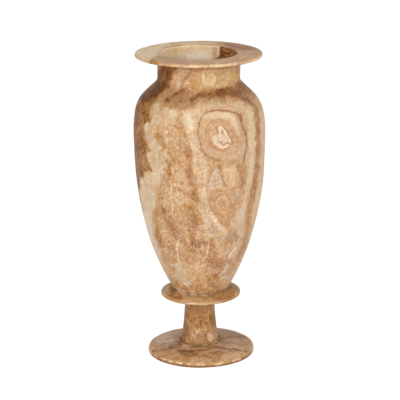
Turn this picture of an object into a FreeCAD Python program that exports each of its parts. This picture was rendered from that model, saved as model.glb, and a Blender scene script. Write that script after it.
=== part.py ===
"""Alabaster vase: a hollow turned vessel on a collar, a slim stem and a foot, set together with lime filler.

Every stone is turned, so each is one half-section revolved about the vertical axis. The stem has a round
tenon at each end. The lower one stands in the foot. The upper one passes through the collar into the
vessel's solid base. Filler beds each joint and fills the gap round the tenons, and a bead of it is pointed
round the two joints that show. Sizes are in millimetres. The origin is the centre of the foot's underside,
and Z points up.
"""
import FreeCAD
import Part
import math
import os

# Foot: a thin disc with a flat underside and a low coned top, which ends in a flat seat for the stem
foot_radius = 52.0
foot_edge_height = 5.0
foot_seat_height = 10.8
foot_edge_chamfer = 1.3
foot_underside_chamfer = 0.6
foot_socket_floor = 3.6

# Stem: a column that tapers upwards, is bowed in a little and has a tenon at each end
stem_height = 47.3
stem_base_radius = 18.2
stem_top_radius = 14.2
stem_bow = 0.7
lower_tenon_radius = 9.0
upper_tenon_radius = 8.0
upper_tenon_grip = 12.0
tenon_chamfer = 0.8

# Collar: a thin disc like the foot, with a hole for the stem's tenon and a seat for the vessel
collar_radius = 39.0
collar_edge_height = 2.9
collar_seat_height = 5.9
collar_edge_chamfer = 0.8

# Vessel, outside: a narrow base, a tall belly, a sloping shoulder, an upright neck and a wide flat rim
vessel_height = 234.2
vessel_base_radius = 27.0
belly_radius = 63.4
belly_height = 158.8
neck_radius = 39.6
neck_height = 26.7
neck_root_rounding = 6.3
rim_radius = 60.4
rim_thickness = 3.4
rim_edge_chamfer = 1.0
rim_root_chamfer = 1.0

# Vessel, inside: the neck's bore opens under the shoulder into a cavity with a flat, chamfered floor
neck_wall = 3.7
belly_wall = 5.6
cavity_floor_height = 30.0
cavity_corner_height = 12.0
cavity_corner_chamfer = 6.5
mouth_chamfer = 0.9

# The shoulder's place and the cavity floor's, as shares of the widths and heights that they divide
shoulder_width_share = 0.54
shoulder_height_share = 0.746
cavity_floor_width_share = 0.206

# How far the vessel's side leans out at its base, and the cavity's at its floor, as shares of its rise
base_lean_share = 0.589
cavity_lean_share = 0.42

# Filler: the beds between faces, the gap round a tenon, and the beads
bed_thickness = 0.6
tenon_gap = 0.5
foot_bead_width = 2.2
foot_bead_height = 2.6
vessel_bead_width = 2.0
vessel_bead_height = 2.8

# A chamfer takes up no more than this share of the edge that it is on
chamfer_limit_share = 0.4

# Levels of the faces that meet, from the floor up
stem_base_level = foot_seat_height + bed_thickness
stem_top_level = stem_base_level + stem_height
collar_level = stem_top_level + bed_thickness
collar_seat_level = collar_level + collar_seat_height
vessel_level = collar_seat_level + bed_thickness
cavity_floor_level = vessel_level + cavity_floor_height
belly_level = vessel_level + belly_height
rim_level = vessel_level + vessel_height
neck_root_level = rim_level - neck_height

# Sockets are one gap wider than the tenons in them, and one gap deeper
foot_socket_radius = lower_tenon_radius + tenon_gap
lower_tenon_level = foot_socket_floor + tenon_gap
upper_socket_radius = upper_tenon_radius + tenon_gap
upper_tenon_level = vessel_level + upper_tenon_grip
vessel_socket_level = upper_tenon_level + tenon_gap

# Flat seats on the foot and the collar reach out past the piece on them by the width of its bead
foot_seat_radius = stem_base_radius + foot_bead_width
collar_seat_radius = vessel_base_radius + vessel_bead_width


def at(radius, level):
    """A point of a half-section, which lies in the XZ plane."""
    return FreeCAD.Vector(radius, 0, level)


# The way up, the way that the vessel's side sets out from its base, and the waist that the stem bows in to
upward = at(0, 1)
base_lean = at(base_lean_share, 1).normalize()
stem_waist = at(
    (stem_base_radius + stem_top_radius) / 2 - stem_bow,
    (stem_base_level + stem_top_level) / 2,
)


def rounded(radius):
    """Rounds a corner between two straight sides with an arc."""
    def ease(before, corner, after):
        back = (before - corner).normalize()
        onward = (after - corner).normalize()
        inward = (back + onward).normalize()
        half_angle = back.getAngle(onward) / 2
        reach = radius / math.tan(half_angle)
        depth = radius / math.sin(half_angle) - radius
        return corner + back * reach, corner + inward * depth, corner + onward * reach
    return ease


def chamfered(width, edge_length=math.inf):
    """Takes off a corner between two straight sides by a width, limited by the edge that it is on."""
    reach = min(width, edge_length * chamfer_limit_share)

    def ease(before, corner, after):
        return corner + (before - corner).normalize() * reach, corner + (after - corner).normalize() * reach
    return ease


def straight(end, ease=None):
    """A straight side of a half-section. Its end may be eased where it turns on to the next straight side."""
    return {"end": end, "ease": ease, "draw": Part.LineSegment}


def bowed(middle, end):
    """A side that is an arc through a middle point."""
    return {"end": end, "ease": None, "draw": lambda start, end: Part.Arc(start, middle, end)}


def arc_middle(start, direction, end):
    """The middle of the arc that sets off from its start in a direction."""
    chord = end - start
    across = direction - chord * (direction.dot(chord) / chord.dot(chord))
    rise = chord.Length / 2 / (1 + direction.dot(chord) / chord.Length)
    return start + chord / 2 + across * rise


def swept(start, direction, end, last_direction):
    """Two arcs that meet smoothly. They set off and arrive in given directions."""
    span = end - start
    turning = 1 - direction.dot(last_direction)
    forward = span.dot(direction + last_direction)
    reach = (math.sqrt(forward ** 2 + 2 * turning * span.dot(span)) - forward) / (2 * turning)
    joint = (start + end + (direction - last_direction) * reach) / 2
    return [
        bowed(arc_middle(start, direction, joint), joint),
        bowed(arc_middle(end, last_direction * -1, joint), end),
    ]


def turned(sides):
    """Revolves a closed half-section about the Z axis, as a lathe does. Each side starts where the last ends."""
    eased = {}
    for index, side in enumerate(sides):
        if side["ease"]:
            after = sides[(index + 1) % len(sides)]["end"]
            eased[index] = side["ease"](sides[index - 1]["end"], side["end"], after)
    edges = []
    for index, side in enumerate(sides):
        before = (index - 1) % len(sides)
        start = eased[before][-1] if before in eased else sides[before]["end"]
        end = eased[index][0] if index in eased else side["end"]
        edges.append(side["draw"](start, end).toShape())
        if index in eased:
            draw = Part.Arc if len(eased[index]) == 3 else Part.LineSegment
            edges.append(draw(*eased[index]).toShape())
    half_section = Part.Face(Part.Wire(edges))
    return half_section.revolve(at(0, 0), upward, 360)


def socket(radius, low_level, high_level):
    """The space of a round hole on the axis."""
    return Part.makeCylinder(radius, high_level - low_level, at(0, low_level))


def make_foot_disc():
    """The foot's top falls straight from the seat to the chamfered edge, and its socket is blind."""
    disc = turned([
        straight(at(0, foot_seat_height)),
        straight(at(foot_seat_radius, foot_seat_height)),
        straight(at(foot_radius, foot_edge_height), chamfered(foot_edge_chamfer, foot_edge_height)),
        straight(at(foot_radius, 0), chamfered(foot_underside_chamfer, foot_edge_height)),
        straight(at(0, 0)),
    ])
    return disc.cut(socket(foot_socket_radius, foot_socket_floor, stem_base_level))


def make_stem():
    """The column and its tenons are one stone. The tenons' ends are chamfered, to start them in their holes."""
    return turned([
        straight(at(0, lower_tenon_level)),
        straight(at(lower_tenon_radius, lower_tenon_level), chamfered(tenon_chamfer)),
        straight(at(lower_tenon_radius, stem_base_level)),
        straight(at(stem_base_radius, stem_base_level)),
        bowed(stem_waist, at(stem_top_radius, stem_top_level)),
        straight(at(upper_tenon_radius, stem_top_level)),
        straight(at(upper_tenon_radius, upper_tenon_level), chamfered(tenon_chamfer)),
        straight(at(0, upper_tenon_level)),
    ])


def make_collar_disc():
    """The collar's top falls straight from the vessel's seat to the edge, which is chamfered above and below."""
    chamfer = chamfered(collar_edge_chamfer, collar_edge_height)
    return turned([
        straight(at(upper_socket_radius, collar_level)),
        straight(at(upper_socket_radius, collar_seat_level)),
        straight(at(collar_seat_radius, collar_seat_level)),
        straight(at(collar_radius, collar_level + collar_edge_height), chamfer),
        straight(at(collar_radius, collar_level), chamfer),
    ])


def make_vessel_body():
    """Rim, neck, shoulder and belly are one stone, hollowed through the neck. Its base is left solid."""
    base = at(vessel_base_radius, vessel_level)
    belly = at(belly_radius, belly_level)
    neck_root = at(neck_radius, neck_root_level)
    shoulder = at(
        neck_radius + (belly_radius - neck_radius) * shoulder_width_share,
        belly_level + (neck_root_level - belly_level) * shoulder_height_share,
    )
    slope = (neck_root - shoulder).normalize()
    bore_radius = neck_radius - neck_wall
    inner_shoulder = shoulder + at(-slope.z, slope.x) * belly_wall
    bore_root = inner_shoulder + slope * ((bore_radius - inner_shoulder.x) / slope.x)
    inner_belly = at(belly_radius - belly_wall, belly_level)
    cavity_floor_radius = vessel_base_radius + (belly_radius - vessel_base_radius) * cavity_floor_width_share
    cavity_corner = at(cavity_floor_radius, cavity_floor_level)
    cavity_side_foot = cavity_corner + at(cavity_lean_share, 1) * cavity_corner_height
    cavity_lean = at(cavity_lean_share, 1).normalize()
    edge_chamfer = chamfered(rim_edge_chamfer, rim_thickness)
    stone = turned([
        straight(at(0, vessel_level)),
        straight(base),
        *swept(base, base_lean, belly, upward),
        *swept(belly, upward, shoulder, slope),
        straight(neck_root, rounded(neck_root_rounding)),
        straight(at(neck_radius, rim_level - rim_thickness), chamfered(rim_root_chamfer)),
        straight(at(rim_radius, rim_level - rim_thickness), edge_chamfer),
        straight(at(rim_radius, rim_level), edge_chamfer),
        straight(at(bore_radius, rim_level), chamfered(mouth_chamfer)),
        straight(bore_root),
        straight(inner_shoulder),
        *swept(inner_shoulder, slope * -1, inner_belly, upward * -1),
        *swept(inner_belly, upward * -1, cavity_side_foot, cavity_lean * -1),
        straight(cavity_corner, chamfered(cavity_corner_chamfer)),
        straight(at(0, cavity_floor_level)),
    ])
    return stone.cut(socket(upper_socket_radius, collar_seat_level, vessel_socket_level))


def make_bedding(low_radius, low_level, step_level, high_radius, high_level, stem):
    """Filler of two widths, one above the other, less the stem that stands in it."""
    filler = turned([
        straight(at(0, low_level)),
        straight(at(low_radius, low_level)),
        straight(at(low_radius, step_level)),
        straight(at(high_radius, step_level)),
        straight(at(high_radius, high_level)),
        straight(at(0, high_level)),
    ])
    return filler.cut(stem)


def make_bead(corner, side, width, height, neighbours):
    """A ring of filler, struck off straight, in the corner between a flat seat and the piece that stands on it."""
    inner = corner - at(width, 0)
    top = corner + side * (height / side.z)
    filler = turned([
        straight(inner),
        straight(corner + at(width, 0)),
        straight(top),
        straight(at(inner.x, top.z)),
    ])
    return filler.cut(neighbours)


def main():
    foot_disc = make_foot_disc()
    stem = make_stem()
    collar_disc = make_collar_disc()
    vessel_body = make_vessel_body()
    foot_bedding = make_bedding(
        foot_socket_radius, foot_socket_floor, foot_seat_height, stem_base_radius, stem_base_level, stem)
    collar_bedding = make_bedding(
        stem_top_radius, stem_top_level, collar_level, upper_socket_radius, collar_seat_level, stem)
    vessel_bedding = make_bedding(
        vessel_base_radius, collar_seat_level, vessel_level, upper_socket_radius, vessel_socket_level, stem)
    foot_bead = make_bead(
        at(stem_base_radius, foot_seat_height), stem_waist - at(stem_base_radius, stem_base_level),
        foot_bead_width, foot_bead_height, [stem, foot_bedding])
    vessel_bead = make_bead(
        at(vessel_base_radius, collar_seat_level), base_lean,
        vessel_bead_width, vessel_bead_height, [vessel_body, vessel_bedding])
    nodes = {
        "foot_disc": foot_disc,
        "stem": stem,
        "collar_disc": collar_disc,
        "vessel_body": vessel_body,
        "foot_bedding": foot_bedding,
        "collar_bedding": collar_bedding,
        "vessel_bedding": vessel_bedding,
        "foot_bead": foot_bead,
        "vessel_bead": vessel_bead,
    }
    os.makedirs("parts", exist_ok=True)
    for name, shape in nodes.items():
        shape.exportStep(f"parts/{name}.step")


main()
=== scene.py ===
"""Alabaster vase of banded calcite: a hollow turned vessel on a collar, a slim stem and a disc foot."""
import bpy
import math
import numpy as np
from mathutils import Matrix, Vector


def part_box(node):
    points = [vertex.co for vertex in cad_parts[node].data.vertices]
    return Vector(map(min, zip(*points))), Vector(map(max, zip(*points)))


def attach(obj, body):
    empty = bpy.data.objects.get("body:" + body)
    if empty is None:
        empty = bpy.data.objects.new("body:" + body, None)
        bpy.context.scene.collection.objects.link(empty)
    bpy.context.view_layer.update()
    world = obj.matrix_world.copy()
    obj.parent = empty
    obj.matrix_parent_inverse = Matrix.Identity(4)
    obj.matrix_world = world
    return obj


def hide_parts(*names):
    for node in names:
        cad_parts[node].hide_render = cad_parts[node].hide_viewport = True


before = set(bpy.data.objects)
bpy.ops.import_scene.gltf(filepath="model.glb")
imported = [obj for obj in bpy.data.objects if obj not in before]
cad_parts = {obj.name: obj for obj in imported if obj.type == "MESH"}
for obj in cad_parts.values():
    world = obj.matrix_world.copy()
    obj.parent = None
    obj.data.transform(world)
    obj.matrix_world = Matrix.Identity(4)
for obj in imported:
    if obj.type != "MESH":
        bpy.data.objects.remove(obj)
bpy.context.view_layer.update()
mm = 0.001


# The camera stands 1.6 m in front of the vase and 0.6 m up, and looks down at it through a long lens. It is
# held a little off level, so the vase leans to the left in the picture.
camera_distance = 1.6354
camera_height = 0.6179
camera_pitch = math.radians(15.83)
camera_lean = math.radians(0.43)
picture_side = 400
focal_length = 1750.4
film_side = 36.0
farthest_view = 20

bpy.ops.object.camera_add(location=(0, -camera_distance, camera_height))
camera = bpy.context.object
camera.name = "camera"
tilt = Matrix.Rotation(math.pi / 2 - camera_pitch, 3, "X")
camera.rotation_euler = (tilt @ Matrix.Rotation(-camera_lean, 3, "Z")).to_euler()
camera.data.sensor_width = film_side
camera.data.lens = film_side * focal_length / picture_side
camera.data.clip_end = farthest_view
bpy.context.scene.camera = camera
bpy.context.view_layer.update()


# Foot: one turned disc of calcite, flat below and coned above, with a flat seat for the stem. Its edge is
# worn round and lightly chipped from handling. The stem's tenon is set in its socket with lime filler.
_, foot_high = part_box("foot_disc")
foot_radius = foot_high.x
foot_seat_level = foot_high.z
foot_seat_radius = 20.4 * mm
foot_edge_height = 5.0 * mm
foot_edge_rounding = 1.7 * mm
foot_under_rounding = 0.9 * mm
foot_wear_size = 14 * mm
foot_wear = 0.45 * mm
foot_inward_share = 0.95
foot_steps = 420
fine_spacing = 0.95 * mm
coarse_spacing = 4.0 * mm
joining_gap = 0.002 * mm
sharp_angle = math.radians(40)


def straight(end, spacing=fine_spacing, rounding=0):
    """A straight side of an outline. Its end may be rounded on to the next straight side."""
    return {"end": Vector(end), "spacing": spacing, "rounding": rounding, "direction": None}


def bowed(direction, end, spacing=fine_spacing):
    """A side that is an arc, which sets off in a direction."""
    direction = Vector(direction).normalized()
    return {"end": Vector(end), "spacing": spacing, "rounding": 0, "direction": direction}


def along_arc(start, direction, end, spacing):
    """Points from just after an arc's start to its end."""
    chord = end - start
    half_turn = math.atan2(direction.x * chord.y - direction.y * chord.x, direction.dot(chord))
    count = max(3, math.ceil(chord.length * half_turn / math.sin(half_turn) / spacing))
    points = []
    for step in range(1, count + 1):
        turn = half_turn * step / count
        reach = chord.length * math.sin(turn) / math.sin(half_turn)
        way = Vector((
            direction.x * math.cos(turn) - direction.y * math.sin(turn),
            direction.x * math.sin(turn) + direction.y * math.cos(turn),
        ))
        points.append(start + way * reach)
    return points


def outline(start, sides):
    """The points of a turned piece's half-section, which starts and ends on the axis or closes on itself."""
    points = [Vector(start)]
    for index, side in enumerate(sides):
        begin, end = points[-1], side["end"]
        if side["direction"]:
            points += along_arc(begin, side["direction"], end, side["spacing"])
            continue
        way = (end - begin).normalized()
        turn_end = end
        if side["rounding"]:
            onward = (sides[index + 1]["end"] - end).normalized()
            reach = side["rounding"] / math.tan(way.angle(-onward) / 2)
            end = end - way * reach
            turn_end = turn_end + onward * reach
        count = max(1, round((end - begin).length / side["spacing"]))
        points += [begin.lerp(end, step / count) for step in range(1, count + 1)]
        if side["rounding"]:
            points += along_arc(end, way, turn_end, side["rounding"] / 3)
    return points


def pick(piece):
    """Selects one piece alone, for the tool that comes next."""
    bpy.ops.object.select_all(action="DESELECT")
    bpy.context.view_layer.objects.active = piece
    piece.select_set(True)


def shape(piece, modifier):
    """Applies a modifier to a piece."""
    pick(piece)
    bpy.ops.object.modifier_apply(modifier=modifier.name)


def turned(name, points, steps):
    """Turns a half-section round the axis in a number of steps."""
    bpy.ops.object.select_all(action="DESELECT")
    bpy.ops.mesh.primitive_plane_add(size=mm)
    piece = bpy.context.object
    piece.name = name
    bpy.ops.object.mode_set(mode="EDIT")
    bpy.ops.mesh.select_all(action="SELECT")
    bpy.ops.mesh.merge(type="CENTER")
    bpy.ops.transform.translate(value=(points[0].x, 0, points[0].y))
    for before, after in zip(points, points[1:]):
        stride = (after.x - before.x, 0, after.y - before.y)
        bpy.ops.mesh.extrude_region_move(TRANSFORM_OT_translate={"value": stride})
    bpy.ops.object.mode_set(mode="OBJECT")
    lathe = piece.modifiers.new("lathe", "SCREW")
    lathe.steps = lathe.render_steps = steps
    lathe.use_merge_vertices = True
    lathe.merge_threshold = joining_gap
    shape(piece, lathe)
    bpy.ops.object.mode_set(mode="EDIT")
    bpy.ops.mesh.select_all(action="SELECT")
    bpy.ops.mesh.remove_doubles(threshold=joining_gap)
    bpy.ops.mesh.normals_make_consistent(inside=False)
    bpy.ops.object.mode_set(mode="OBJECT")
    bpy.ops.object.shade_smooth_by_angle(angle=sharp_angle)
    return piece


def worn(piece, size, depth, inward_share=0.75):
    """Leaves a hand-turned surface uneven by a depth, in swells of a size that lie mostly inwards."""
    texture = bpy.data.textures.new(f"{piece.name}_swells", "CLOUDS")
    texture.noise_scale = size
    texture.noise_depth = 2
    swells = piece.modifiers.new("swells", "DISPLACE")
    swells.texture = texture
    swells.texture_coords = "LOCAL"
    swells.strength = depth
    swells.mid_level = inward_share
    shape(piece, swells)


def places_of(piece):
    """Where a piece's vertices are, as rows of x, y and z."""
    places = np.empty(len(piece.data.vertices) * 3)
    piece.data.vertices.foreach_get("co", places)
    return places.reshape(-1, 3)


def cloud(places, size, seed, layers=2):
    """A cloudy value for each place, of up to about one either way, that changes over a size and finer."""
    total = np.zeros(len(places))
    for layer in range(layers):
        spots = places * 2 ** layer / size + seed * 7.31
        cell = np.floor(spots)
        share = spots - cell
        share = share * share * (3 - 2 * share)
        for corner in np.ndindex(2, 2, 2):
            nearness = np.where(corner, share, 1 - share).prod(axis=1)
            chance = np.sin((cell + corner) @ (12.99, 78.23, 37.72)) * 43758.5 % 1
            total += nearness * (2 * chance - 1) / 2 ** layer
    return total


def waver(places, size, seed):
    """A drift to the right and downwards for each place, of up to about one each way, over a size."""
    return np.stack([cloud(places, size, seed), cloud(places, size, seed + 0.5)], axis=1)


def in_picture(places):
    """The column and row of the picture at which the camera sees each place."""
    view = np.array(camera.matrix_world.inverted())
    seen = places @ view[:3, :3].T + view[:3, 3]
    scale = focal_length / -seen[:, 2]
    return np.stack([picture_side / 2 + seen[:, 0] * scale, picture_side / 2 - seen[:, 1] * scale], axis=1)


def step_between(values, low, high):
    """A smooth step from 0 at low to 1 at high."""
    share = np.clip((values - low) / (high - low), 0, 1)
    return share * share * (3 - 2 * share)


def gap_to_line(spots, chain):
    """How far each spot is outside a chain of discs, each given by its place and radius."""
    gap = np.full(len(spots), np.inf)
    for first, last in zip(chain, chain[1:] or chain):
        start, span = np.array(first[:2]), np.array(last[:2]) - np.array(first[:2])
        share = np.clip((spots - start) @ span / max(span @ span, 1e-9), 0, 1)
        across, down = (spots - start - share[:, None] * span).T
        gap = np.minimum(gap, np.hypot(across, down) - first[2] - (last[2] - first[2]) * share)
    return gap


def gap_to_area(spots, corners):
    """How far each spot is outside an area, or below zero how far inside, given by its corners."""
    gap = gap_to_line(spots, [(*corner, 0) for corner in corners + corners[:1]])
    inside = np.zeros(len(spots), bool)
    for (x, y), (next_x, next_y) in zip(corners, corners[1:] + corners[:1]):
        spans = (y > spots[:, 1]) != (next_y > spots[:, 1])
        crossing = x + (spots[:, 1] - y) * (next_x - x) / (next_y - y or 1)
        inside ^= spans & (spots[:, 0] < crossing)
    return np.where(inside, -gap, gap)


def lay(stone, spots, where, zones):
    """Lays zones of colour: each has its discs or corners, tone, warmth, mottle and soft border."""
    for marks, tone, warmth, mottle, soft in zones:
        gap = gap_to_line(spots, marks) if len(marks[0]) == 3 else gap_to_area(spots, marks)
        inside = step_between(gap, soft / 2, -soft / 2) * where
        for layer, value in (("tone", tone), ("warmth", warmth), ("mottle", mottle)):
            stone[layer] += (value - stone[layer]) * inside


def stain(stone, spots, where, zones):
    """Stains zones towards rust, or below zero towards olive: each has its discs, rust and soft border."""
    for marks, rust, soft in zones:
        inside = step_between(gap_to_line(spots, marks), soft / 2, -soft / 2) * where
        stone["rust"] += (rust - stone["rust"]) * inside


def draw(stone, spots, where, lines):
    """Draws thin lines, veins and in places a painted shadow or highlight: each has its path, width and
    change, lighter or darker than the stone round it.
    """
    for path, width, change in lines:
        gap = gap_to_line(spots, [(*point, 0) for point in path])
        stone["tone"] += change * np.exp(-(gap / width) ** 2) * where


def keep_layers(piece, stone):
    """Keeps the stone's layers on the piece, for its material to read."""
    for layer, values in stone.items():
        piece.data.attributes.new(layer, "FLOAT", "POINT").data.foreach_set("value", values)


def linear(hexadecimal):
    """An sRGB hex colour as the linear colour that a shader takes."""
    shares = [int(hexadecimal[index:index + 2], 16) / 255 for index in (1, 3, 5)]
    return (*[s / 12.92 if s <= 0.04045 else ((s + 0.055) / 1.055) ** 2.4 for s in shares], 1)


def add(tree, kind, inputs, output=0, stops=(), **settings):
    """Adds a shader node with its settings, links and values, and returns one of its outputs."""
    node = tree.nodes.new("ShaderNode" + kind)
    for name, value in settings.items():
        setattr(node, name, value)
    for index, (place, colour) in enumerate(stops):
        stop = node.color_ramp.elements[index] if index < 2 else node.color_ramp.elements.new(place)
        stop.position = place
        stop.color = linear(colour)
    for name, value in inputs.items():
        if isinstance(value, bpy.types.NodeSocket):
            tree.links.new(value, node.inputs[name])
        else:
            node.inputs[name].default_value = value
    return node.outputs[output] if node.outputs else None


def bare_material(name):
    """A new material with no nodes yet."""
    material = bpy.data.materials.new(name)
    material.use_nodes = True
    material.node_tree.nodes.clear()
    return material


# Polished calcite shows the same run of colours from dark honey to cream wherever it is cut. Golden parts
# hold iron, and greyer ones don't. The grain is 1 to 2 mm, and the mottled parts have curled veins.
golden_run = [
    (0.0, "#5e3408"), (0.2, "#89551a"), (0.4, "#ae7941"), (0.6, "#cf9c66"), (0.8, "#e8c190"),
    (1.0, "#ffe5bc"),
]
greyer_run = [
    (0.0, "#543416"), (0.2, "#7b5838"), (0.4, "#9d7c5e"), (0.6, "#bca083"), (0.8, "#d9c3a9"),
    (1.0, "#fff2e2"),
]
patch_share = 0.48
blot_share = 0.34
light_crease_share = 0.15
dark_crease_share = -0.10
middle_share = -0.42
crease_width = 0.07
pit_levels = (0.62, 0.72)
pit_share = -0.14
grain_share = 0.32
mottled_grain_share = 0.22
warmth_share = 1.3
middle_hue = 0.49
hue_share = 0.018
rust_hue_share = -0.014
colour_strength = 0.97
dullness_share = 0.25
upright_stretch = (1.0, 1.0, 0.45)
grain_relief = 0.3 * mm
relief_strength = 0.12
calcite_bending = 1.53
shine = 0.12
glow = 0.08
glow_colours = (1.0, 0.6, 0.35)
glow_depth = 1.5 * mm


def polished_calcite(name, patch_size, curl_size, grain_size, roughness):
    """Banded calcite with a satin polish. It glows a little from within, and its grain breaks the shine."""
    material = bare_material(name)
    tree = material.node_tree
    place = add(tree, "TexCoord", {}, output=3)
    layers = ("tone", "warmth", "mottle", "rust")
    tone, warmth, mottle, rust = [
        add(tree, "Attribute", {}, output=2, attribute_name=layer) for layer in layers]
    upright_place = add(tree, "VectorMath", {0: place, 1: upright_stretch}, operation="MULTIPLY")
    drift = add(tree, "TexNoise", {"Vector": place, "Scale": 0.5 / curl_size, "Detail": 2}, output=1)
    bend = add(tree, "VectorMath", {0: drift, "Scale": 1.5 * curl_size}, operation="SCALE")
    bent_place = add(tree, "VectorMath", {0: place, 1: bend}, operation="ADD")
    folds = add(tree, "TexNoise", {"Vector": bent_place, "Scale": 1 / curl_size, "Detail": 1.5}, output=1)
    folds = add(tree, "SeparateColor", {0: folds}).node
    creases = []
    for fold in folds.outputs[:2]:
        height = add(tree, "Math", {0: fold, 1: 0.5}, operation="SUBTRACT")
        height = add(tree, "Math", {0: height}, operation="ABSOLUTE")
        creases.append(add(tree, "MapRange", {0: height, 1: 0.0, 2: crease_width, 3: 1.0, 4: 0.0}))
    patches = add(tree, "TexNoise", {
        "Vector": place, "Scale": 1 / patch_size, "Detail": 3, "Roughness": 0.5})
    blots = add(tree, "TexNoise", {
        "Vector": bent_place, "Scale": 2 / curl_size, "Detail": 3, "Roughness": 0.6})
    grain = add(tree, "TexNoise", {
        "Vector": upright_place, "Scale": 1 / grain_size, "Detail": 3, "Roughness": 0.75})
    pits = add(tree, "TexNoise", {"Vector": place, "Scale": 0.7 / grain_size, "Detail": 1})
    pits = add(tree, "MapRange", {0: pits, 1: pit_levels[0], 2: pit_levels[1], 3: 0.0, 4: 1.0})

    change = middle_share
    for pattern, share in (
            (patches, patch_share), (blots, blot_share),
            (creases[0], light_crease_share), (creases[1], dark_crease_share)):
        change = add(tree, "Math", {0: pattern, 1: share, 2: change}, operation="MULTIPLY_ADD")
    change = add(tree, "Math", {0: change, 1: mottle, 2: tone}, operation="MULTIPLY_ADD")
    grain_strength = add(
        tree, "Math", {0: mottle, 1: mottled_grain_share, 2: grain_share}, operation="MULTIPLY_ADD")
    grain_change = add(tree, "Math", {0: grain, 1: 0.5}, operation="SUBTRACT")
    change = add(tree, "Math", {0: grain_change, 1: grain_strength, 2: change}, operation="MULTIPLY_ADD")
    full_tone = add(tree, "Math", {0: pits, 1: pit_share, 2: change}, operation="MULTIPLY_ADD")

    warm_patches = add(tree, "TexNoise", {"Vector": bent_place, "Scale": 0.7 / curl_size, "Detail": 3})
    warm_change = add(tree, "Math", {0: warm_patches, 1: 0.5}, operation="SUBTRACT")
    full_warmth = add(
        tree, "Math", {0: warm_change, 1: warmth_share, 2: warmth}, operation="MULTIPLY_ADD",
        use_clamp=True)
    golden = add(tree, "ValToRGB", {"Fac": full_tone}, stops=golden_run)
    greyer = add(tree, "ValToRGB", {"Fac": full_tone}, stops=greyer_run)
    colour = add(tree, "Mix", {0: full_warmth, 6: greyer, 7: golden}, output=2, data_type="RGBA")
    stains = add(tree, "TexNoise", {"Vector": bent_place, "Scale": 1 / curl_size, "Detail": 2})
    hue = add(tree, "Math", {0: stains, 1: hue_share, 2: middle_hue}, operation="MULTIPLY_ADD")
    hue = add(tree, "Math", {0: rust, 1: rust_hue_share, 2: hue}, operation="MULTIPLY_ADD")
    colour = add(tree, "HueSaturation", {"Hue": hue, "Saturation": colour_strength, "Color": colour})
    dullness = add(tree, "Math", {
        0: grain, 1: dullness_share, 2: roughness - dullness_share / 2}, operation="MULTIPLY_ADD")
    relief = add(tree, "Bump", {"Height": grain, "Strength": relief_strength, "Distance": grain_relief})
    surface = add(tree, "BsdfPrincipled", {
        "Base Color": colour, "Roughness": dullness, "IOR": calcite_bending, "Specular IOR Level": shine,
        "Normal": relief, "Subsurface Weight": glow, "Subsurface Radius": glow_colours,
        "Subsurface Scale": glow_depth,
    })
    add(tree, "OutputMaterial", {"Surface": surface})
    return material


def finish(piece, material, node):
    """Gives a finished piece its material, and puts it in the place of its solid."""
    piece.data.materials.clear()
    piece.data.materials.append(material)
    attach(piece, "root")
    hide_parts(node)


foot = turned("turned_foot", outline((0, 0), [
    straight((foot_radius, 0), coarse_spacing, foot_under_rounding),
    straight((foot_radius, foot_edge_height), fine_spacing, foot_edge_rounding),
    straight((foot_seat_radius, foot_seat_level)),
    straight((0, foot_seat_level), coarse_spacing),
]), foot_steps)
worn(foot, foot_wear_size, foot_wear, foot_inward_share)
foot_places = places_of(foot)
foot_spots = in_picture(foot_places) + waver(foot_places, 6 * mm, 3) * 1.2
foot_edge = step_between(foot_places[:, 2], foot_edge_height - 0.4 * mm, foot_edge_height - 1.2 * mm)
foot_stone = {
    "tone": 0.56 + 0.06 * cloud(foot_places * (1, 3, 3), 22 * mm, 11),
    "warmth": 0.50 + 0.20 * cloud(foot_places, 18 * mm, 12),
    "mottle": np.full(len(foot_places), 0.65),
    "rust": 0.3 * cloud(foot_places, 20 * mm, 13),
}
foot_patches = [
    ([(160, 339, 5), (168, 334, 4)], 0.69, 0.25, 0.6, 6),
    ([(164, 343, 3), (172, 341, 3)], 0.67, 0.30, 0.7, 4),
    ([(225, 334, 5), (240, 339, 5)], 0.52, 0.38, 0.7, 6),
    ([(228, 345, 3), (242, 347, 3)], 0.60, 0.35, 0.7, 4),
    ([(158, 356, 4), (175, 360, 4), (200, 361, 5), (228, 359, 5), (246, 353, 4)], 0.56, 0.90, 0.9, 5),
    ([(192, 361, 3), (208, 361, 3)], 0.66, 0.85, 0.8, 4),
    ([(226, 357, 4), (242, 352, 3)], 0.68, 0.75, 0.7, 4),
    ([(182, 353, 3), (200, 354.5, 2.5), (216, 353, 2.5)], 0.40, 0.80, 0.9, 4),
    # Painted shade round the stem's base: this dark mark on its left and the next one on its right
    ([(181, 339, 2.5), (180, 344, 2.5)], 0.30, 0.70, 0.8, 4),
    ([(222, 338, 2)], 0.32, 0.20, 0.6, 3),
    ([(151, 343, 2), (151, 350, 2)], 0.62, 0.60, 0.5, 3),
    ([(250, 345, 2), (251, 351, 1.5)], 0.64, 0.60, 0.5, 3),
    ([(170, 346.5, 1.5), (178, 344, 1.5)], 0.36, 0.50, 0.6, 2),
]
foot_veins = [
    ([(178, 350), (186, 350.6), (196, 350.2), (204, 350), (211, 348.6)], 1.1, -0.30),
    ([(152, 352), (163, 349.5), (178, 347)], 0.8, -0.24),
    ([(205, 346), (218, 347.5), (230, 349.5), (246, 351)], 0.8, -0.26),
    ([(216, 351), (226, 352), (240, 350)], 0.7, -0.20),
    ([(160, 345), (172, 342.5), (180, 341)], 0.8, -0.16),
    ([(226, 338.5), (237, 336.5), (248, 337)], 1.0, -0.18),
    ([(221, 343), (236, 344), (249, 346)], 0.8, -0.14),
    ([(190, 346), (202, 347)], 0.9, -0.26),
    ([(206, 358), (213, 357.5)], 1.2, -0.20),
    ([(168, 354), (178, 355)], 0.8, -0.14),
    ([(222, 354), (234, 353)], 0.8, -0.12),
]
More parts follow.
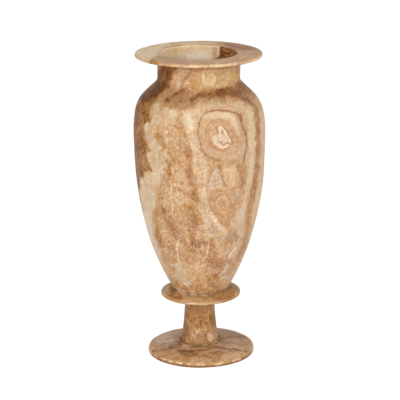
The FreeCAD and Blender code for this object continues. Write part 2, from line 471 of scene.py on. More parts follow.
foot_edge_chips = [
    ([(148, 352, 2), (157, 359, 2), (168, 363, 2), (185, 366, 2), (205, 366, 2), (230, 363, 2),
      (252, 354, 2)], 0.52, 0.85, 0.8, 2.5),
    ([(162, 358.7, 1.3), (164.5, 359.5, 1.3)], 0.92, 0.70, 0.5, 1.5),
    ([(170.5, 361.3, 1.3), (172, 361.6, 1.3)], 1.05, 0.40, 0.4, 1.2),
    ([(177, 362.3, 1.6), (181.5, 363.2, 1.5)], 1.20, 0.30, 0.4, 1.5),
    ([(187, 363.6, 1), (190, 363.8, 1)], 0.88, 0.50, 0.4, 1.5),
    ([(197, 364.2, 0.8), (204, 364.4, 1.2)], 0.88, 0.60, 0.5, 1.5),
    ([(216, 363.6, 1.2), (222, 363, 1.2)], 0.82, 0.70, 0.5, 1.5),
    ([(232, 361, 1.1), (240, 358.6, 1.1)], 0.80, 0.60, 0.5, 1.5),
    ([(150.5, 350, 1), (152, 353, 1)], 0.80, 0.50, 0.5, 1.5),
]
# Painted shade: a dark band round the foot's lowest 1 to 2 mm, where its edge turns under towards the floor
foot_bottom_painted_shade = [
    ([(100, 320), (300, 320), (300, 400), (100, 400)], 0.20, 0.60, 0.8, 2),
]
lay(foot_stone, foot_spots, 1.0, foot_patches)
draw(foot_stone, foot_spots, 1.0, foot_veins)
lay(foot_stone, foot_spots, foot_edge, foot_edge_chips)
foot_bottom = step_between(foot_places[:, 2], 2.2 * mm, 1.3 * mm)
lay(foot_stone, foot_spots, foot_bottom, foot_bottom_painted_shade)
keep_layers(foot, foot_stone)
foot_calcite = polished_calcite(
    "foot_calcite_satin_polished", patch_size=11 * mm, curl_size=6 * mm, grain_size=1.5 * mm, roughness=0.42)
finish(foot, foot_calcite, "foot_disc")


# Stem: one turned column of calcite that tapers upwards and bows in a little, with a tenon at each end. It is
# set on the foot in filler, which shows round its base, and it stands 1 mm off the middle of the foot.
stem_low, stem_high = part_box("stem")
stem_base_radius = 18.2 * mm
stem_top_radius = 14.2 * mm
stem_bow = 0.7 * mm
lower_tenon_radius = 9.0 * mm
upper_tenon_radius = 8.0 * mm
tenon_rounding = 0.8 * mm
stem_base_level = foot_seat_level + 0.6 * mm
stem_top_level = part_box("collar_bedding")[0].z
stem_side = Vector((stem_top_radius - stem_base_radius, stem_top_level - stem_base_level))
stem_first_lean = Vector((stem_side.x / 2 - 2 * stem_bow, stem_side.y / 2))
stem_shift = 1.1 * mm
stem_steps = 200


def open_chosen(piece, parts, chosen):
    """Opens a piece for editing with only its chosen vertices or polygons selected."""
    pick(piece)
    bpy.ops.object.mode_set(mode="EDIT")
    bpy.ops.mesh.select_mode(type="VERT" if parts == "vertices" else "FACE")
    bpy.ops.mesh.select_all(action="DESELECT")
    bpy.ops.object.mode_set(mode="OBJECT")
    getattr(piece.data, parts).foreach_set("select", chosen)
    bpy.ops.object.mode_set(mode="EDIT")


def nudge(piece, chosen, shift, reach=0):
    """Moves a piece's chosen vertices, and draws those within a reach after them."""
    open_chosen(piece, "vertices", chosen)
    bpy.ops.transform.translate(
        value=shift, use_proportional_edit=reach > 0, proportional_edit_falloff="SMOOTH",
        proportional_size=reach or mm)
    bpy.ops.object.mode_set(mode="OBJECT")


stem = turned("turned_stem", outline((0, stem_low.z), [
    straight((lower_tenon_radius, stem_low.z), coarse_spacing, tenon_rounding),
    straight((lower_tenon_radius, stem_base_level), coarse_spacing),
    straight((stem_base_radius, stem_base_level), coarse_spacing),
    bowed(stem_first_lean, (stem_top_radius, stem_top_level), 0.6 * mm),
    straight((upper_tenon_radius, stem_top_level), coarse_spacing),
    straight((upper_tenon_radius, stem_high.z), coarse_spacing, tenon_rounding),
    straight((0, stem_high.z), coarse_spacing),
]), stem_steps)
stem_places = places_of(stem)
stem_shaft = np.hypot(stem_places[:, 0], stem_places[:, 1]) > 1.2 * lower_tenon_radius
nudge(stem, stem_shaft, (-stem_shift, 0, 0))
stem_places = places_of(stem)
stem_spots = in_picture(stem_places) + waver(stem_places, 5 * mm, 4) * 1.2
stem_stone = {
    "tone": 0.47 + 0.08 * cloud(stem_places, 12 * mm, 21),
    "warmth": 0.78 + 0.25 * cloud(stem_places, 10 * mm, 22),
    "mottle": np.full(len(stem_places), 0.6),
    "rust": 0.2 * cloud(stem_places, 12 * mm, 23),
}
stem_patches = [
    ([(185, 308, 1.5), (184.5, 322, 1.5), (183.5, 336, 1.5)], 0.28, 0.60, 0.6, 3),
    ([(188, 308, 1.5), (188, 322, 2), (187, 334, 2)], 0.39, 0.85, 0.7, 3),
    ([(198.5, 306, 2), (198.5, 311, 1.5)], 0.40, 0.95, 0.8, 3),
    ([(204, 316, 2), (205, 326, 2)], 0.40, 0.85, 0.9, 3),
    ([(200, 316, 1.4), (200.5, 320, 1.6), (200.5, 324, 1.3)], 0.24, 1.00, 0.8, 2),
    ([(212, 314, 1.5), (211.5, 319, 2.2), (212, 325, 1.8)], 0.32, 0.90, 0.8, 3),
    ([(214.5, 310, 1), (215, 326, 1)], 0.38, 0.60, 0.7, 2),
    ([(192, 312, 3), (192, 326, 3)], 0.44, 0.92, 0.6, 3),
    ([(197, 318, 2.5), (198, 328, 2.5)], 0.40, 0.92, 0.7, 3),
    # Painted shadow of the collar on the top of the stem: this dark mark and the next
    ([(191, 305, 1.5)], 0.20, 0.80, 0.6, 2),
    ([(207, 304.5, 1), (213, 304.5, 1)], 0.18, 0.80, 0.6, 2),
    ([(200, 333, 5), (196, 338, 4)], 0.54, 0.74, 0.8, 4),
    ([(182.5, 334, 2), (183, 340, 2.5)], 0.30, 0.55, 0.8, 3),
    ([(210, 334, 1.8), (211, 338.5, 2.2)], 0.74, 0.35, 0.6, 2.5),
    ([(188, 305.5, 1)], 0.70, 0.30, 0.5, 1.5),
]
stem_veins = [
    ([(188, 311), (190, 316), (188, 321), (191, 327)], 0.6, 0.15),
    ([(200, 318), (203, 320), (202, 324), (205, 327), (206, 331)], 0.6, 0.19),
    ([(194, 328), (197, 333), (195, 338), (199, 341)], 0.6, 0.18),
    ([(192, 330), (193, 335), (191, 340)], 0.6, 0.14),
    ([(196, 309), (199, 306.5), (204, 308)], 0.6, 0.15),
    ([(207, 312), (209, 317), (208, 322)], 0.6, 0.12),
    ([(193, 315), (196, 319), (195, 324)], 0.6, 0.14),
    ([(200, 333), (203, 336), (201, 340)], 0.6, 0.12),
    ([(196, 322), (199, 327), (198, 331)], 0.6, 0.10),
]
lay(stem_stone, stem_spots, 1.0, stem_patches)
draw(stem_stone, stem_spots, 1.0, stem_veins)
keep_layers(stem, stem_stone)
stem_calcite = polished_calcite(
    "stem_calcite_satin_polished", patch_size=8 * mm, curl_size=5 * mm, grain_size=1.5 * mm, roughness=0.40)
finish(stem, stem_calcite, "stem")


# Collar: a thin turned disc of golden-brown calcite, like the foot but smaller. The stem's upper tenon goes
# through its hole, and the vessel stands on its flat seat.
collar_low, collar_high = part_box("collar_disc")
collar_radius = collar_high.x
collar_hole_radius = 8.5 * mm
collar_seat_radius = 29.0 * mm
collar_edge_height = 2.9 * mm
collar_rounding = 1.1 * mm
collar_edge_level = collar_low.z + collar_edge_height
collar_wear_size = 9 * mm
collar_wear = 0.3 * mm
collar_steps = 320

collar = turned("turned_collar", outline((collar_hole_radius, collar_high.z), [
    straight((collar_hole_radius, collar_low.z), coarse_spacing),
    straight((collar_radius, collar_low.z), fine_spacing, collar_rounding),
    straight((collar_radius, collar_edge_level), fine_spacing, collar_rounding),
    straight((collar_seat_radius, collar_high.z)),
    straight((collar_hole_radius, collar_high.z), coarse_spacing),
]), collar_steps)
worn(collar, collar_wear_size, collar_wear)
collar_places = places_of(collar)
collar_spots = in_picture(collar_places) + waver(collar_places, 6 * mm, 5)
collar_edge = step_between(
    collar_places[:, 2], collar_edge_level + 0.6 * mm, collar_edge_level - 0.4 * mm)
collar_stone = {
    "tone": 0.48 + 0.05 * cloud(collar_places, 14 * mm, 31),
    "warmth": 0.85 + 0.15 * cloud(collar_places, 12 * mm, 32),
    "mottle": np.full(len(collar_places), 0.6),
    "rust": -0.5 + 0.15 * cloud(collar_places, 12 * mm, 33),
}
collar_patches = [
    ([(163, 288, 4), (165, 293, 3)], 0.60, 0.42, 0.5, 4),
    ([(239, 288, 3.5), (237, 292, 2.5)], 0.57, 0.42, 0.5, 4),
    # Painted shade on the collar's top where the vessel's base meets it on the left
    ([(170.5, 288, 2), (173, 293, 1.5)], 0.28, 0.60, 0.6, 2.5),
    ([(171, 296.5, 1.8), (179, 298.5, 1.5)], 0.31, 1.00, 0.7, 2.5),
    ([(184, 298, 3), (200, 300, 2.5)], 0.58, 0.82, 0.5, 3),
    ([(222, 297, 3), (232, 294, 3), (235, 290, 2)], 0.43, 0.95, 0.7, 3),
    # Painted shade on the collar's top where the vessel's base meets it on the right
    ([(231, 287, 2)], 0.26, 0.60, 0.6, 2.5),
    ([(219, 299.5, 1), (226, 299.5, 1.2), (233, 298, 1.5)], 0.34, 1.00, 0.8, 2),
]
collar_edge_patches = [
    ([(161, 294, 1.5), (175, 301, 1.5), (232, 300, 1.5), (240, 293, 1.5)], 0.54, 0.80, 0.5, 2),
    # Painted highlight along the collar's lower front edge
    ([(182, 303, 1.5), (200, 304, 2), (220, 303, 1.5)], 0.64, 0.75, 0.6, 2),
]
collar_veins_and_highlight = [
    ([(162, 292), (168, 296.5), (180, 300), (200, 301), (218, 300), (232, 297), (239, 292.5)], 0.6, 0.14),
    ([(163, 290), (170, 294.5), (182, 297.5)], 0.6, -0.08),
    # Painted highlight: a light line along the collar's lower front edge
    ([(188, 303), (196, 304), (206, 304)], 0.7, 0.16),
]
collar_stains = [
    ([(171, 296.5, 2), (180, 298.5, 1.5)], 0.5, 2.5),
    ([(218, 300, 1.5), (232, 298, 2)], 0.4, 2.5),
]
lay(collar_stone, collar_spots, 1.0, collar_patches)
lay(collar_stone, collar_spots, collar_edge, collar_edge_patches)
draw(collar_stone, collar_spots, 1.0, collar_veins_and_highlight)
stain(collar_stone, collar_spots, 1.0, collar_stains)
keep_layers(collar, collar_stone)
collar_calcite = polished_calcite(
    "collar_calcite_satin_polished", patch_size=9 * mm, curl_size=6 * mm, grain_size=1.4 * mm, roughness=0.42)
finish(collar, collar_calcite, "collar_disc")


# Vessel: one block of banded calcite, turned outside and hollowed through the neck to a wall of 5 to 6 mm.
# Its bands run down from the rim to the base round one pale nodule, and it is polished to a satin shine.
vessel_low, vessel_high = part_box("vessel_body")
vessel_level = vessel_low.z
rim_level = vessel_high.z
belly_radius = vessel_high.x
belly_level = vessel_level + 158.8 * mm
belly_swell_level = 168 * mm
belly_swell_share = 0.011
belly_swell_reach = 45 * mm
belly_shift = 0.3 * mm
belly_shift_reach = 30 * mm
vessel_base_radius = 27.0 * mm
vessel_base_rounding = 0.8 * mm
base_lean = (0.589, 1)
neck_radius = 39.6 * mm
neck_root_level = rim_level - 26.7 * mm
neck_root_rounding = 6.3 * mm
shoulder = Vector((52.45 * mm, 260.9 * mm))
shoulder_shift = 1.0 * mm
shoulder_shift_reach = 30 * mm
rim_radius = 60.4 * mm
rim_thickness = 3.4 * mm
rim_rounding = 1.3 * mm
rim_root_rounding = 1.2 * mm
rim_sag = 0.3 * mm
rim_sag_reach = 90 * mm
rim_overhang = 0.7 * mm
rim_overhang_reach = 20 * mm
mouth_rounding = 1.4 * mm
bore_radius = 35.9 * mm
bore_foot_level = 264 * mm
wall = 5.6 * mm
cavity_floor_level = vessel_level + 30 * mm
cavity_floor_radius = 34.5 * mm
cavity_floor_rounding = 6 * mm
cavity_side_foot = (39.5 * mm, cavity_floor_level + 12 * mm)
cavity_foot_lean = (-0.42, -1)
socket_radius = 8.5 * mm
socket_level = vessel_level + 12.5 * mm
vessel_wear = 0.35 * mm
vessel_wear_size = 26 * mm
vessel_inward_share = 0.85
vessel_steps = 126
vessel_spacing = 2.9 * mm
inner_spacing = 8 * mm
least_facing_share = 0.2
slope = (Vector((neck_radius, neck_root_level)) - shoulder).normalized()
inner_shoulder = shoulder + Vector((-slope.y, slope.x)) * wall
bore_root = inner_shoulder + slope * ((bore_radius - inner_shoulder.x) / slope.x)
inner_belly = (belly_radius - wall, belly_level)


def swept(start, direction, end, last_direction, spacing=fine_spacing):
    """Two arcs that meet smoothly. They set off and arrive in given directions."""
    start, end = Vector(start), Vector(end)
    direction, last_direction = Vector(direction).normalized(), Vector(last_direction).normalized()
    span = end - start
    turning = 1 - direction.dot(last_direction)
    forward = span.dot(direction + last_direction)
    reach = (math.sqrt(forward ** 2 + 2 * turning * span.dot(span)) - forward) / (2 * turning)
    joint = (start + end + (direction - last_direction) * reach) / 2
    chord = (joint - start).normalized()
    return [
        bowed(direction, joint, spacing),
        bowed(chord * 2 * direction.dot(chord) - direction, end, spacing),
    ]


def widen(piece, chosen, share, reach):
    """Widens a turned piece at its chosen vertices, and draws those within a reach after them."""
    open_chosen(piece, "vertices", chosen)
    bpy.ops.transform.resize(
        value=(1 + share, 1 + share, 1), center_override=(0, 0, 0), use_proportional_edit=True,
        proportional_edit_falloff="SMOOTH", proportional_size=reach)
    bpy.ops.object.mode_set(mode="OBJECT")


def faces_of(piece):
    """Where a piece's faces are, and which way they face."""
    centres, ways = np.empty(len(piece.data.polygons) * 3), np.empty(len(piece.data.polygons) * 3)
    piece.data.polygons.foreach_get("center", centres)
    piece.data.polygons.foreach_get("normal", ways)
    return centres.reshape(-1, 3), ways.reshape(-1, 3)


def ways_to_camera(places, ways):
    """How directly faces face the camera: 1 for straight at it, and below 0 for away from it."""
    views = np.array(camera.location) - places
    return (views * ways).sum(axis=1) / np.hypot(np.hypot(views[:, 0], views[:, 1]), views[:, 2])


def cut_finer(piece, chosen, cuts):
    """Cuts a piece's chosen faces into smaller ones, to hold a sharper pattern."""
    open_chosen(piece, "polygons", chosen)
    bpy.ops.mesh.subdivide(number_cuts=cuts, smoothness=1)
    bpy.ops.mesh.select_mode(type="VERT")
    bpy.ops.object.mode_set(mode="OBJECT")


vessel = turned("turned_vessel", outline((0, socket_level), [
    straight((socket_radius, socket_level), coarse_spacing),
    straight((socket_radius, vessel_level), coarse_spacing),
    straight((vessel_base_radius, vessel_level), coarse_spacing, vessel_base_rounding),
    *swept(
        (vessel_base_radius, vessel_level), base_lean, (belly_radius, belly_level), (0, 1), vessel_spacing),
    *swept((belly_radius, belly_level), (0, 1), shoulder, slope, vessel_spacing),
    straight((neck_radius, neck_root_level), vessel_spacing, neck_root_rounding),
    straight((neck_radius, rim_level - rim_thickness), vessel_spacing, rim_root_rounding),
    straight((rim_radius, rim_level - rim_thickness), vessel_spacing, rim_rounding),
    straight((rim_radius, rim_level), vessel_spacing, rim_rounding),
    straight((bore_radius, rim_level), vessel_spacing, mouth_rounding),
    straight(bore_root, vessel_spacing),
    straight(inner_shoulder, inner_spacing),
    *swept(inner_shoulder, -slope, inner_belly, (0, -1), inner_spacing),
    *swept(inner_belly, (0, -1), cavity_side_foot, cavity_foot_lean, inner_spacing),
    straight((cavity_floor_radius, cavity_floor_level), coarse_spacing, cavity_floor_rounding),
    straight((0, cavity_floor_level), inner_spacing),
]), vessel_steps)

# Finer faces where the camera sees the stone, and finer still round the nodule and the white cracks
nodule_surroundings = [(196, 104), (245, 104), (250, 120), (250, 170), (236, 212), (210, 212)]
left_crack_surroundings = [(177, 236, 2), (177, 249, 2.5), (179, 262, 2)]
middle_crack_surroundings = [(209.5, 241, 2), (208, 252, 2), (203, 259, 2)]
face_places, face_ways = faces_of(vessel)
in_cavity = ((face_places * face_ways)[:, :2].sum(axis=1) < 0) & (face_places[:, 2] < bore_foot_level)
cut_finer(vessel, (ways_to_camera(face_places, face_ways) > least_facing_share) & ~in_cavity, 2)
face_places, face_ways = faces_of(vessel)
face_spots = in_picture(face_places)
finest = gap_to_area(face_spots, nodule_surroundings) < 0
for crack_surroundings in (left_crack_surroundings, middle_crack_surroundings):
    finest |= gap_to_line(face_spots, crack_surroundings) < 0
cut_finer(vessel, finest & (face_ways[:, 1] < 0) & (face_places[:, 1] < 0), 1)

# Wear, and the small errors of a shape turned by hand
worn(vessel, vessel_wear_size, vessel_wear, vessel_inward_share)
vessel_places = places_of(vessel)
full_belly = np.abs(vessel_places[:, 2] - belly_swell_level) < 2 * mm
belly_right = full_belly & (vessel_places[:, 0] > 0.8 * belly_radius)
widen(vessel, full_belly, belly_swell_share, belly_swell_reach)
nudge(vessel, belly_right, (belly_shift, 0, 0), belly_shift_reach)
vessel_places = places_of(vessel)
vessel_radii = np.hypot(vessel_places[:, 0], vessel_places[:, 1])
at_shoulder = np.abs(vessel_places[:, 2] - shoulder.y) < 1 * mm
nudge(vessel, at_shoulder & (vessel_radii > shoulder.x - 8 * mm), (-shoulder_shift, 0, 0),
      shoulder_shift_reach)
at_rim = vessel_places[:, 2] > rim_level - 1.2 * rim_thickness
nudge(vessel, at_rim & (vessel_places[:, 0] > 0.9 * rim_radius), (0, 0, -rim_sag), rim_sag_reach)
nudge(vessel, at_rim & (vessel_places[:, 0] < -0.96 * rim_radius), (-rim_overhang, 0, 0),
      rim_overhang_reach)

# How the marks' edges waver, in pixels: most in the brown stone, less in the pale, least round the nodule,
# and in upright teeth where a band ends in streaks
vessel_places = places_of(vessel)
vessel_spots = in_picture(vessel_places)
fine_waver = waver(vessel_places, 7 * mm, 6)
small_waver = waver(vessel_places, 2.6 * mm, 7)
ragged = vessel_spots + fine_waver * 1.6 + small_waver * 1.2
smooth = vessel_spots + fine_waver * 0.6 + small_waver * 0.8
calm = vessel_spots + fine_waver * 0.6 + small_waver * 0.35
streaks = cloud(vessel_places * (1, 1, 0.2), 1.3 * mm, 8)
streaky = calm + np.stack([streaks * 0.2, streaks * 2.2], axis=1)

# Where marks may lie: the rim's top, its edge, the bore, and the outside in front and behind
on_rim = step_between(vessel_places[:, 2], rim_level - 2.6 * mm, rim_level - 1.6 * mm) \
    * step_between(vessel_radii, bore_radius - 0.5 * mm, bore_radius + 0.8 * mm)
on_rim_edge = step_between(vessel_radii, rim_radius - 1.4 * mm, rim_radius - 0.4 * mm) \
    * step_between(vessel_places[:, 2], rim_level - 5.5 * mm, rim_level - 4.5 * mm)
in_bore = step_between(vessel_radii, bore_radius + 1.2 * mm, bore_radius + 0.2 * mm) \
    * step_between(vessel_places[:, 2], bore_foot_level - 2 * mm, bore_foot_level + 2 * mm)
above_cavity = step_between(vessel_places[:, 2], bore_foot_level - 1 * mm, bore_foot_level + 1 * mm)
outside = (1 - in_bore * above_cavity) \
    * step_between(vessel_places[:, 2], rim_level - 3.0 * mm, rim_level - 4.0 * mm)
forward = step_between(vessel_places[:, 1], 24 * mm, 12 * mm)
front, behind = outside * forward, outside * (1 - forward)

# The plain stone under the marks, with clouds that stand upright
upright = vessel_places * (1, 1, 0.35)
vessel_stone = {
    "tone": 0.60 + 0.10 * cloud(upright, 24 * mm, 41) + 0.05 * cloud(vessel_places, 9 * mm, 42),
    "warmth": 0.60 + 0.20 * cloud(vessel_places, 24 * mm, 43),
    "mottle": 0.75 + 0.30 * cloud(upright, 30 * mm, 44),
    "rust": 0.15 * cloud(upright, 20 * mm, 45),
}

# Rim, seen from above
rim_patches = [
    ([(120, 30), (280, 30), (280, 80), (120, 80)], 0.60, 0.85, 0.7, 3),
    ([(148, 61.5), (150, 60.5), (155, 57), (160, 53), (160, 51), (165, 47), (173, 45), (200, 45), (200, 36),
      (120, 36), (120, 61.5)], 0.85, 0.75, 0.35, 1.2),
    ([(172, 43, 1.5), (190, 42.5, 1.5), (215, 42.5, 1.5)], 0.74, 0.75, 0.4, 2),
    ([(225, 44, 1.5), (235, 46.5, 2.5), (247, 48.5, 2.5), (256, 50, 1.5)], 0.40, 0.65, 0.6, 2.5),
    ([(158, 58.5, 1.5), (170, 59.5, 2), (185, 61, 1.5)], 0.54, 0.65, 0.6, 2.5),
    ([(243, 56, 2), (250, 54, 1.5)], 0.64, 0.75, 0.5, 2),
    ([(254, 57, 1.8), (260, 54.5, 1.8)], 0.64, 1.00, 0.5, 2),
    ([(152, 61.5, 1.2), (158, 62.5, 1)], 0.44, 0.95, 0.6, 1.5),
]
rim_veins = [
    ([(239, 53.2), (246, 52), (255, 50.8)], 0.6, 0.18),
    ([(239, 57), (248, 56.6), (258, 55.6)], 0.6, 0.12),
    ([(160, 52.5), (156, 56), (150, 60.5)], 0.7, -0.12),
    ([(163, 60), (178, 60.8), (200, 61.2), (222, 60.6), (235, 58.6)], 0.6, 0.10),
    ([(150, 47), (165, 45), (178, 43.6)], 0.7, -0.07),
    ([(140, 50), (150, 51)], 0.7, -0.06),
]
rim_edge_patches = [
    ([(130, 54, 6), (145, 62, 3)], 0.66, 0.55, 0.6, 3),
    ([(151, 63, 1.5), (157, 64, 1.5)], 0.38, 0.95, 0.8, 2),
    ([(162, 65, 1.5), (170, 66, 1.5)], 0.64, 0.95, 0.9, 2),
    ([(262, 55, 3), (252, 61, 2), (242, 63, 2)], 0.72, 0.75, 0.7, 3),
]
rim_front_edge_patches = [
    ([(175, 66, 3), (200, 67, 3), (234, 65, 3)], 0.76, 0.75, 0.9, 3),
]
lay(vessel_stone, smooth, on_rim, rim_patches)
draw(vessel_stone, smooth, on_rim, rim_veins)
lay(vessel_stone, smooth, on_rim_edge, rim_edge_patches)
lay(vessel_stone, ragged, on_rim_edge, rim_front_edge_patches)

# Bore, whose far wall shows through the mouth
bore_patches = [
    ([(150, 36), (250, 36), (250, 66), (150, 66)], 0.92, 0.75, 0.1, 2),
    ([(168, 51, 2), (174, 49, 3.5), (181, 50, 3.5), (176, 55, 3)], 0.86, 1.30, 0.2, 3),
    ([(176, 50.5, 2)], 0.76, 1.30, 0.2, 2.5),
    ([(182, 54.5, 2.5)], 0.94, 1.00, 0.1, 3),
    ([(186, 50, 2), (196, 47, 2), (208, 47, 2)], 0.87, 1.00, 0.2, 3),
    # Painted light: the far wall's whitest middle, lit through the thin stone
    ([(190, 56.5, 2), (206, 56, 2)], 1.25, 0.05, 0.1, 6),
    ([(215, 49, 2.5), (215, 56, 2)], 0.72, 1.00, 0.3, 4),
    ([(213, 59.5), (217, 58), (220, 54), (220, 44), (240, 44), (242, 62), (213, 62)], 0.20, 0.85, 1.0, 2.2),
    ([(224, 49.5, 1), (227, 51.5, 1.2), (230, 51, 1.2)], 0.46, 0.90, 0.8, 1.5),
    ([(226, 55.5, 1), (231, 55.5, 1), (233, 53, 0.8)], 0.44, 0.90, 0.8, 1.5),
]
bore_veins = [
    ([(183, 53), (187, 49), (192, 47)], 0.6, -0.06),
    ([(205, 50), (209, 48), (213, 51)], 0.6, -0.06),
]
lay(vessel_stone, smooth, in_bore, bore_patches)
draw(vessel_stone, smooth, in_bore, bore_veins)

# Neck
neck_patches = [
    ([(165, 60), (250, 60), (246, 84), (236, 88), (222, 88), (210, 91), (195, 92), (180, 90), (168, 88)],
     0.62, 0.85, 0.6, 3),
    ([(184, 70, 4), (179, 77, 4), (174, 85, 3.5)], 0.68, 0.62, 0.45, 3),
    ([(191, 70, 1.6), (187, 76, 1.8), (184, 82, 1.6), (180, 88, 1.6)], 0.49, 0.85, 0.6, 2.5),
    ([(187, 84, 2), (189, 80, 1.6)], 0.71, 0.60, 0.5, 2),
    ([(195, 82, 3), (196, 88, 2.5)], 0.56, 1.00, 0.3, 3),
    ([(209, 76, 6), (209, 83, 5)], 0.71, 0.75, 0.5, 4),
    ([(224, 76, 2), (229, 78, 4), (233, 76, 4)], 0.64, 1.00, 0.6, 3),
    ([(226, 84, 3), (232, 83, 2)], 0.60, 1.00, 0.6, 3),
    ([(238, 72, 1.5), (238.5, 82, 1.5)], 0.53, 0.90, 0.7, 2),
]
neck_veins_and_rim_shadow = [
    ([(203.5, 67), (203.6, 77), (204, 85)], 0.9, 0.14),
    ([(206, 80), (207, 74), (213, 71.5), (218.5, 75.5), (218, 83), (213, 87), (208, 86)], 0.7, -0.08),
    ([(208.5, 80), (210, 75), (214.5, 75), (216, 79.5), (213, 83.5)], 0.7, 0.08),
    ([(221, 68), (220.5, 82)], 0.7, -0.05),
    ([(228, 71), (229, 77), (227, 84)], 0.6, 0.06),
    ([(233, 72), (234, 84)], 0.7, -0.05),
    # Painted shadow of the rim on the top of the neck
    ([(175, 67.5), (190, 68.5), (215, 68.6), (238, 66.5)], 0.9, -0.16),
]
lay(vessel_stone, smooth, front, neck_patches)
draw(vessel_stone, smooth, front, neck_veins_and_rim_shadow)

# Shoulder
shoulder_patches = [
    ([(190, 110), (190, 101), (205, 98), (225, 98), (240, 97.5), (248, 104), (252, 111), (240, 113),
      (225, 109), (208, 110), (200, 113)], 0.71, 0.55, 0.45, 3.5),
    ([(200, 101, 1.5), (218, 100.5, 1.5), (238, 100, 1.5)], 0.56, 0.60, 0.5, 4),
]
lay(vessel_stone, streaky, front, shoulder_patches)

# Brown mass on the left and centre
brown_patches = [
    ([(160, 106), (186, 106), (184, 118), (186, 130), (190, 138), (192, 150), (195, 165), (198, 182),
      (201, 205), (205, 220), (209, 236), (217, 248), (222, 262), (214, 290), (170, 290), (150, 262),
      (150, 190), (152, 134)], 0.61, 0.72, 0.95, 5),
    ([(163, 122, 4), (168, 125, 4)], 0.65, 0.75, 0.9, 4),
    ([(161, 110), (168, 109), (184, 110), (186, 117), (178, 123), (168, 120), (160, 119)],
     0.70, 0.52, 0.6, 5),
    ([(172, 113, 2.5), (176, 115, 2.5)], 0.75, 0.38, 0.5, 4),
    ([(180, 112, 1.5), (179, 118, 2)], 0.60, 0.70, 0.6, 4),
    ([(165, 117, 3), (172, 121, 3)], 0.68, 0.60, 0.6, 3),
    ([(177, 119, 2), (178, 126, 2.5), (180, 133, 2)], 0.54, 0.80, 0.8, 3),
    ([(158.5, 126, 1.6), (158, 131, 3), (160, 139, 3), (162, 143, 2)], 0.62, 0.85, 0.7, 4),
    ([(157, 133, 1), (159.5, 138, 1.5)], 0.50, 0.95, 0.6, 2.5),
    ([(163, 145, 2.5), (165, 148, 2)], 0.52, 0.75, 0.9, 3),
    ([(171, 128, 3), (174, 136, 4), (176, 143, 3.5)], 0.66, 0.66, 0.9, 4),
    ([(183, 128, 1.5), (186, 136, 2), (187, 143, 1.8), (186, 149, 1.5)], 0.49, 0.85, 0.9, 3),
    ([(163, 152, 3), (166, 158, 4), (165, 166, 3)], 0.66, 0.55, 0.6, 4),
    ([(168, 161, 1.6), (169, 165, 1.2), (168.5, 172, 2.6), (169.5, 176, 2.4)], 0.47, 0.82, 0.8, 3),
    ([(176, 158, 4), (180, 164, 4)], 0.56, 0.90, 0.8, 4),
    ([(180, 172, 4), (178, 180, 4), (184, 178, 3)], 0.69, 0.65, 0.8, 4),
    ([(187, 150.5, 2.5), (187.5, 155, 3.4), (189, 160, 2.5)], 0.45, 0.75, 0.8, 4),
    ([(189, 160, 2.8), (190, 168, 3.2), (191, 176, 3.2)], 0.45, 0.75, 0.9, 4),
    ([(191.5, 183, 3.2), (193.5, 192, 3.0), (196, 199, 2.8)], 0.49, 0.78, 0.9, 4),
    ([(166, 180, 3), (168, 186, 3)], 0.62, 0.70, 0.9, 3),
    ([(159.5, 190, 2.5), (159.5, 200, 3), (157.5, 208, 3)], 0.58, 0.88, 0.8, 3),
    ([(170, 192, 5), (181, 195, 4)], 0.68, 0.68, 0.9, 5),
    ([(164, 210, 2.5), (166, 213, 2)], 0.41, 0.75, 0.9, 2.5),
    ([(156, 212, 2), (156, 222, 2.4)], 0.50, 0.98, 0.6, 2.5),
    ([(158, 228, 3), (158.5, 236, 2.4), (162, 247, 2.2)], 0.47, 0.88, 0.8, 3),
    ([(172, 222, 5), (175, 230, 5.5), (176, 238, 4)], 0.51, 0.65, 1.0, 5),
    ([(186, 205, 4), (190, 207, 3)], 0.56, 0.85, 0.9, 4),
    ([(190, 208, 1.6)], 0.38, 0.90, 0.9, 2),
    ([(194, 212, 3.5), (197, 224, 4), (192, 236, 4)], 0.48, 0.80, 0.9, 6),
    ([(170, 245, 4), (172, 256, 4)], 0.59, 0.70, 1.0, 5),
    ([(186, 246, 3), (190, 250, 3)], 0.49, 0.80, 1.0, 4),
    ([(193, 243, 3), (199, 244, 3.5), (205, 244, 3)], 0.42, 0.50, 0.9, 3),
    ([(184, 258, 3), (192, 258, 3)], 0.61, 0.95, 0.8, 4),
    ([(187, 262), (196, 260), (204, 262), (205, 272), (202, 281), (192, 281), (188, 274)],
     0.65, 0.90, 0.7, 4),
    ([(192, 266, 2.5), (198, 267, 2.5)], 0.70, 0.80, 0.5, 3),
    ([(176, 261), (181, 262), (184, 268), (187, 275), (188, 282), (182, 282), (177, 277), (175, 269)],
     0.75, 0.45, 0.5, 3.5),
    ([(164, 260, 2), (168, 270, 2.2), (172, 279, 2)], 0.62, 0.85, 0.7, 3),
    ([(170, 281), (230, 281), (226, 298), (176, 298)], 0.60, 0.85, 1.0, 4),
    ([(184.5, 277, 1.2), (187.5, 283, 2), (188, 286.5, 1.5)], 0.76, 0.50, 0.5, 2.5),
    ([(177, 284, 2), (180, 289, 1.5)], 0.48, 0.85, 0.9, 3),
    ([(207, 278, 1.8), (211, 285, 2)], 0.50, 0.90, 0.9, 3),
    ([(196, 289, 2.5), (206, 289, 2.5), (220, 286, 2.5)], 0.54, 0.88, 0.9, 3),
    ([(210, 283, 2.2), (214, 286, 2.4)], 0.43, 0.80, 0.8, 3),
    ([(182, 292, 1.2), (192, 293.5, 1)], 0.74, 0.35, 0.6, 1.5),
    ([(184, 283, 0.8), (187.5, 286.5, 0.8)], 0.84, 0.30, 0.4, 1.5),
]
lay(vessel_stone, ragged, front, brown_patches)

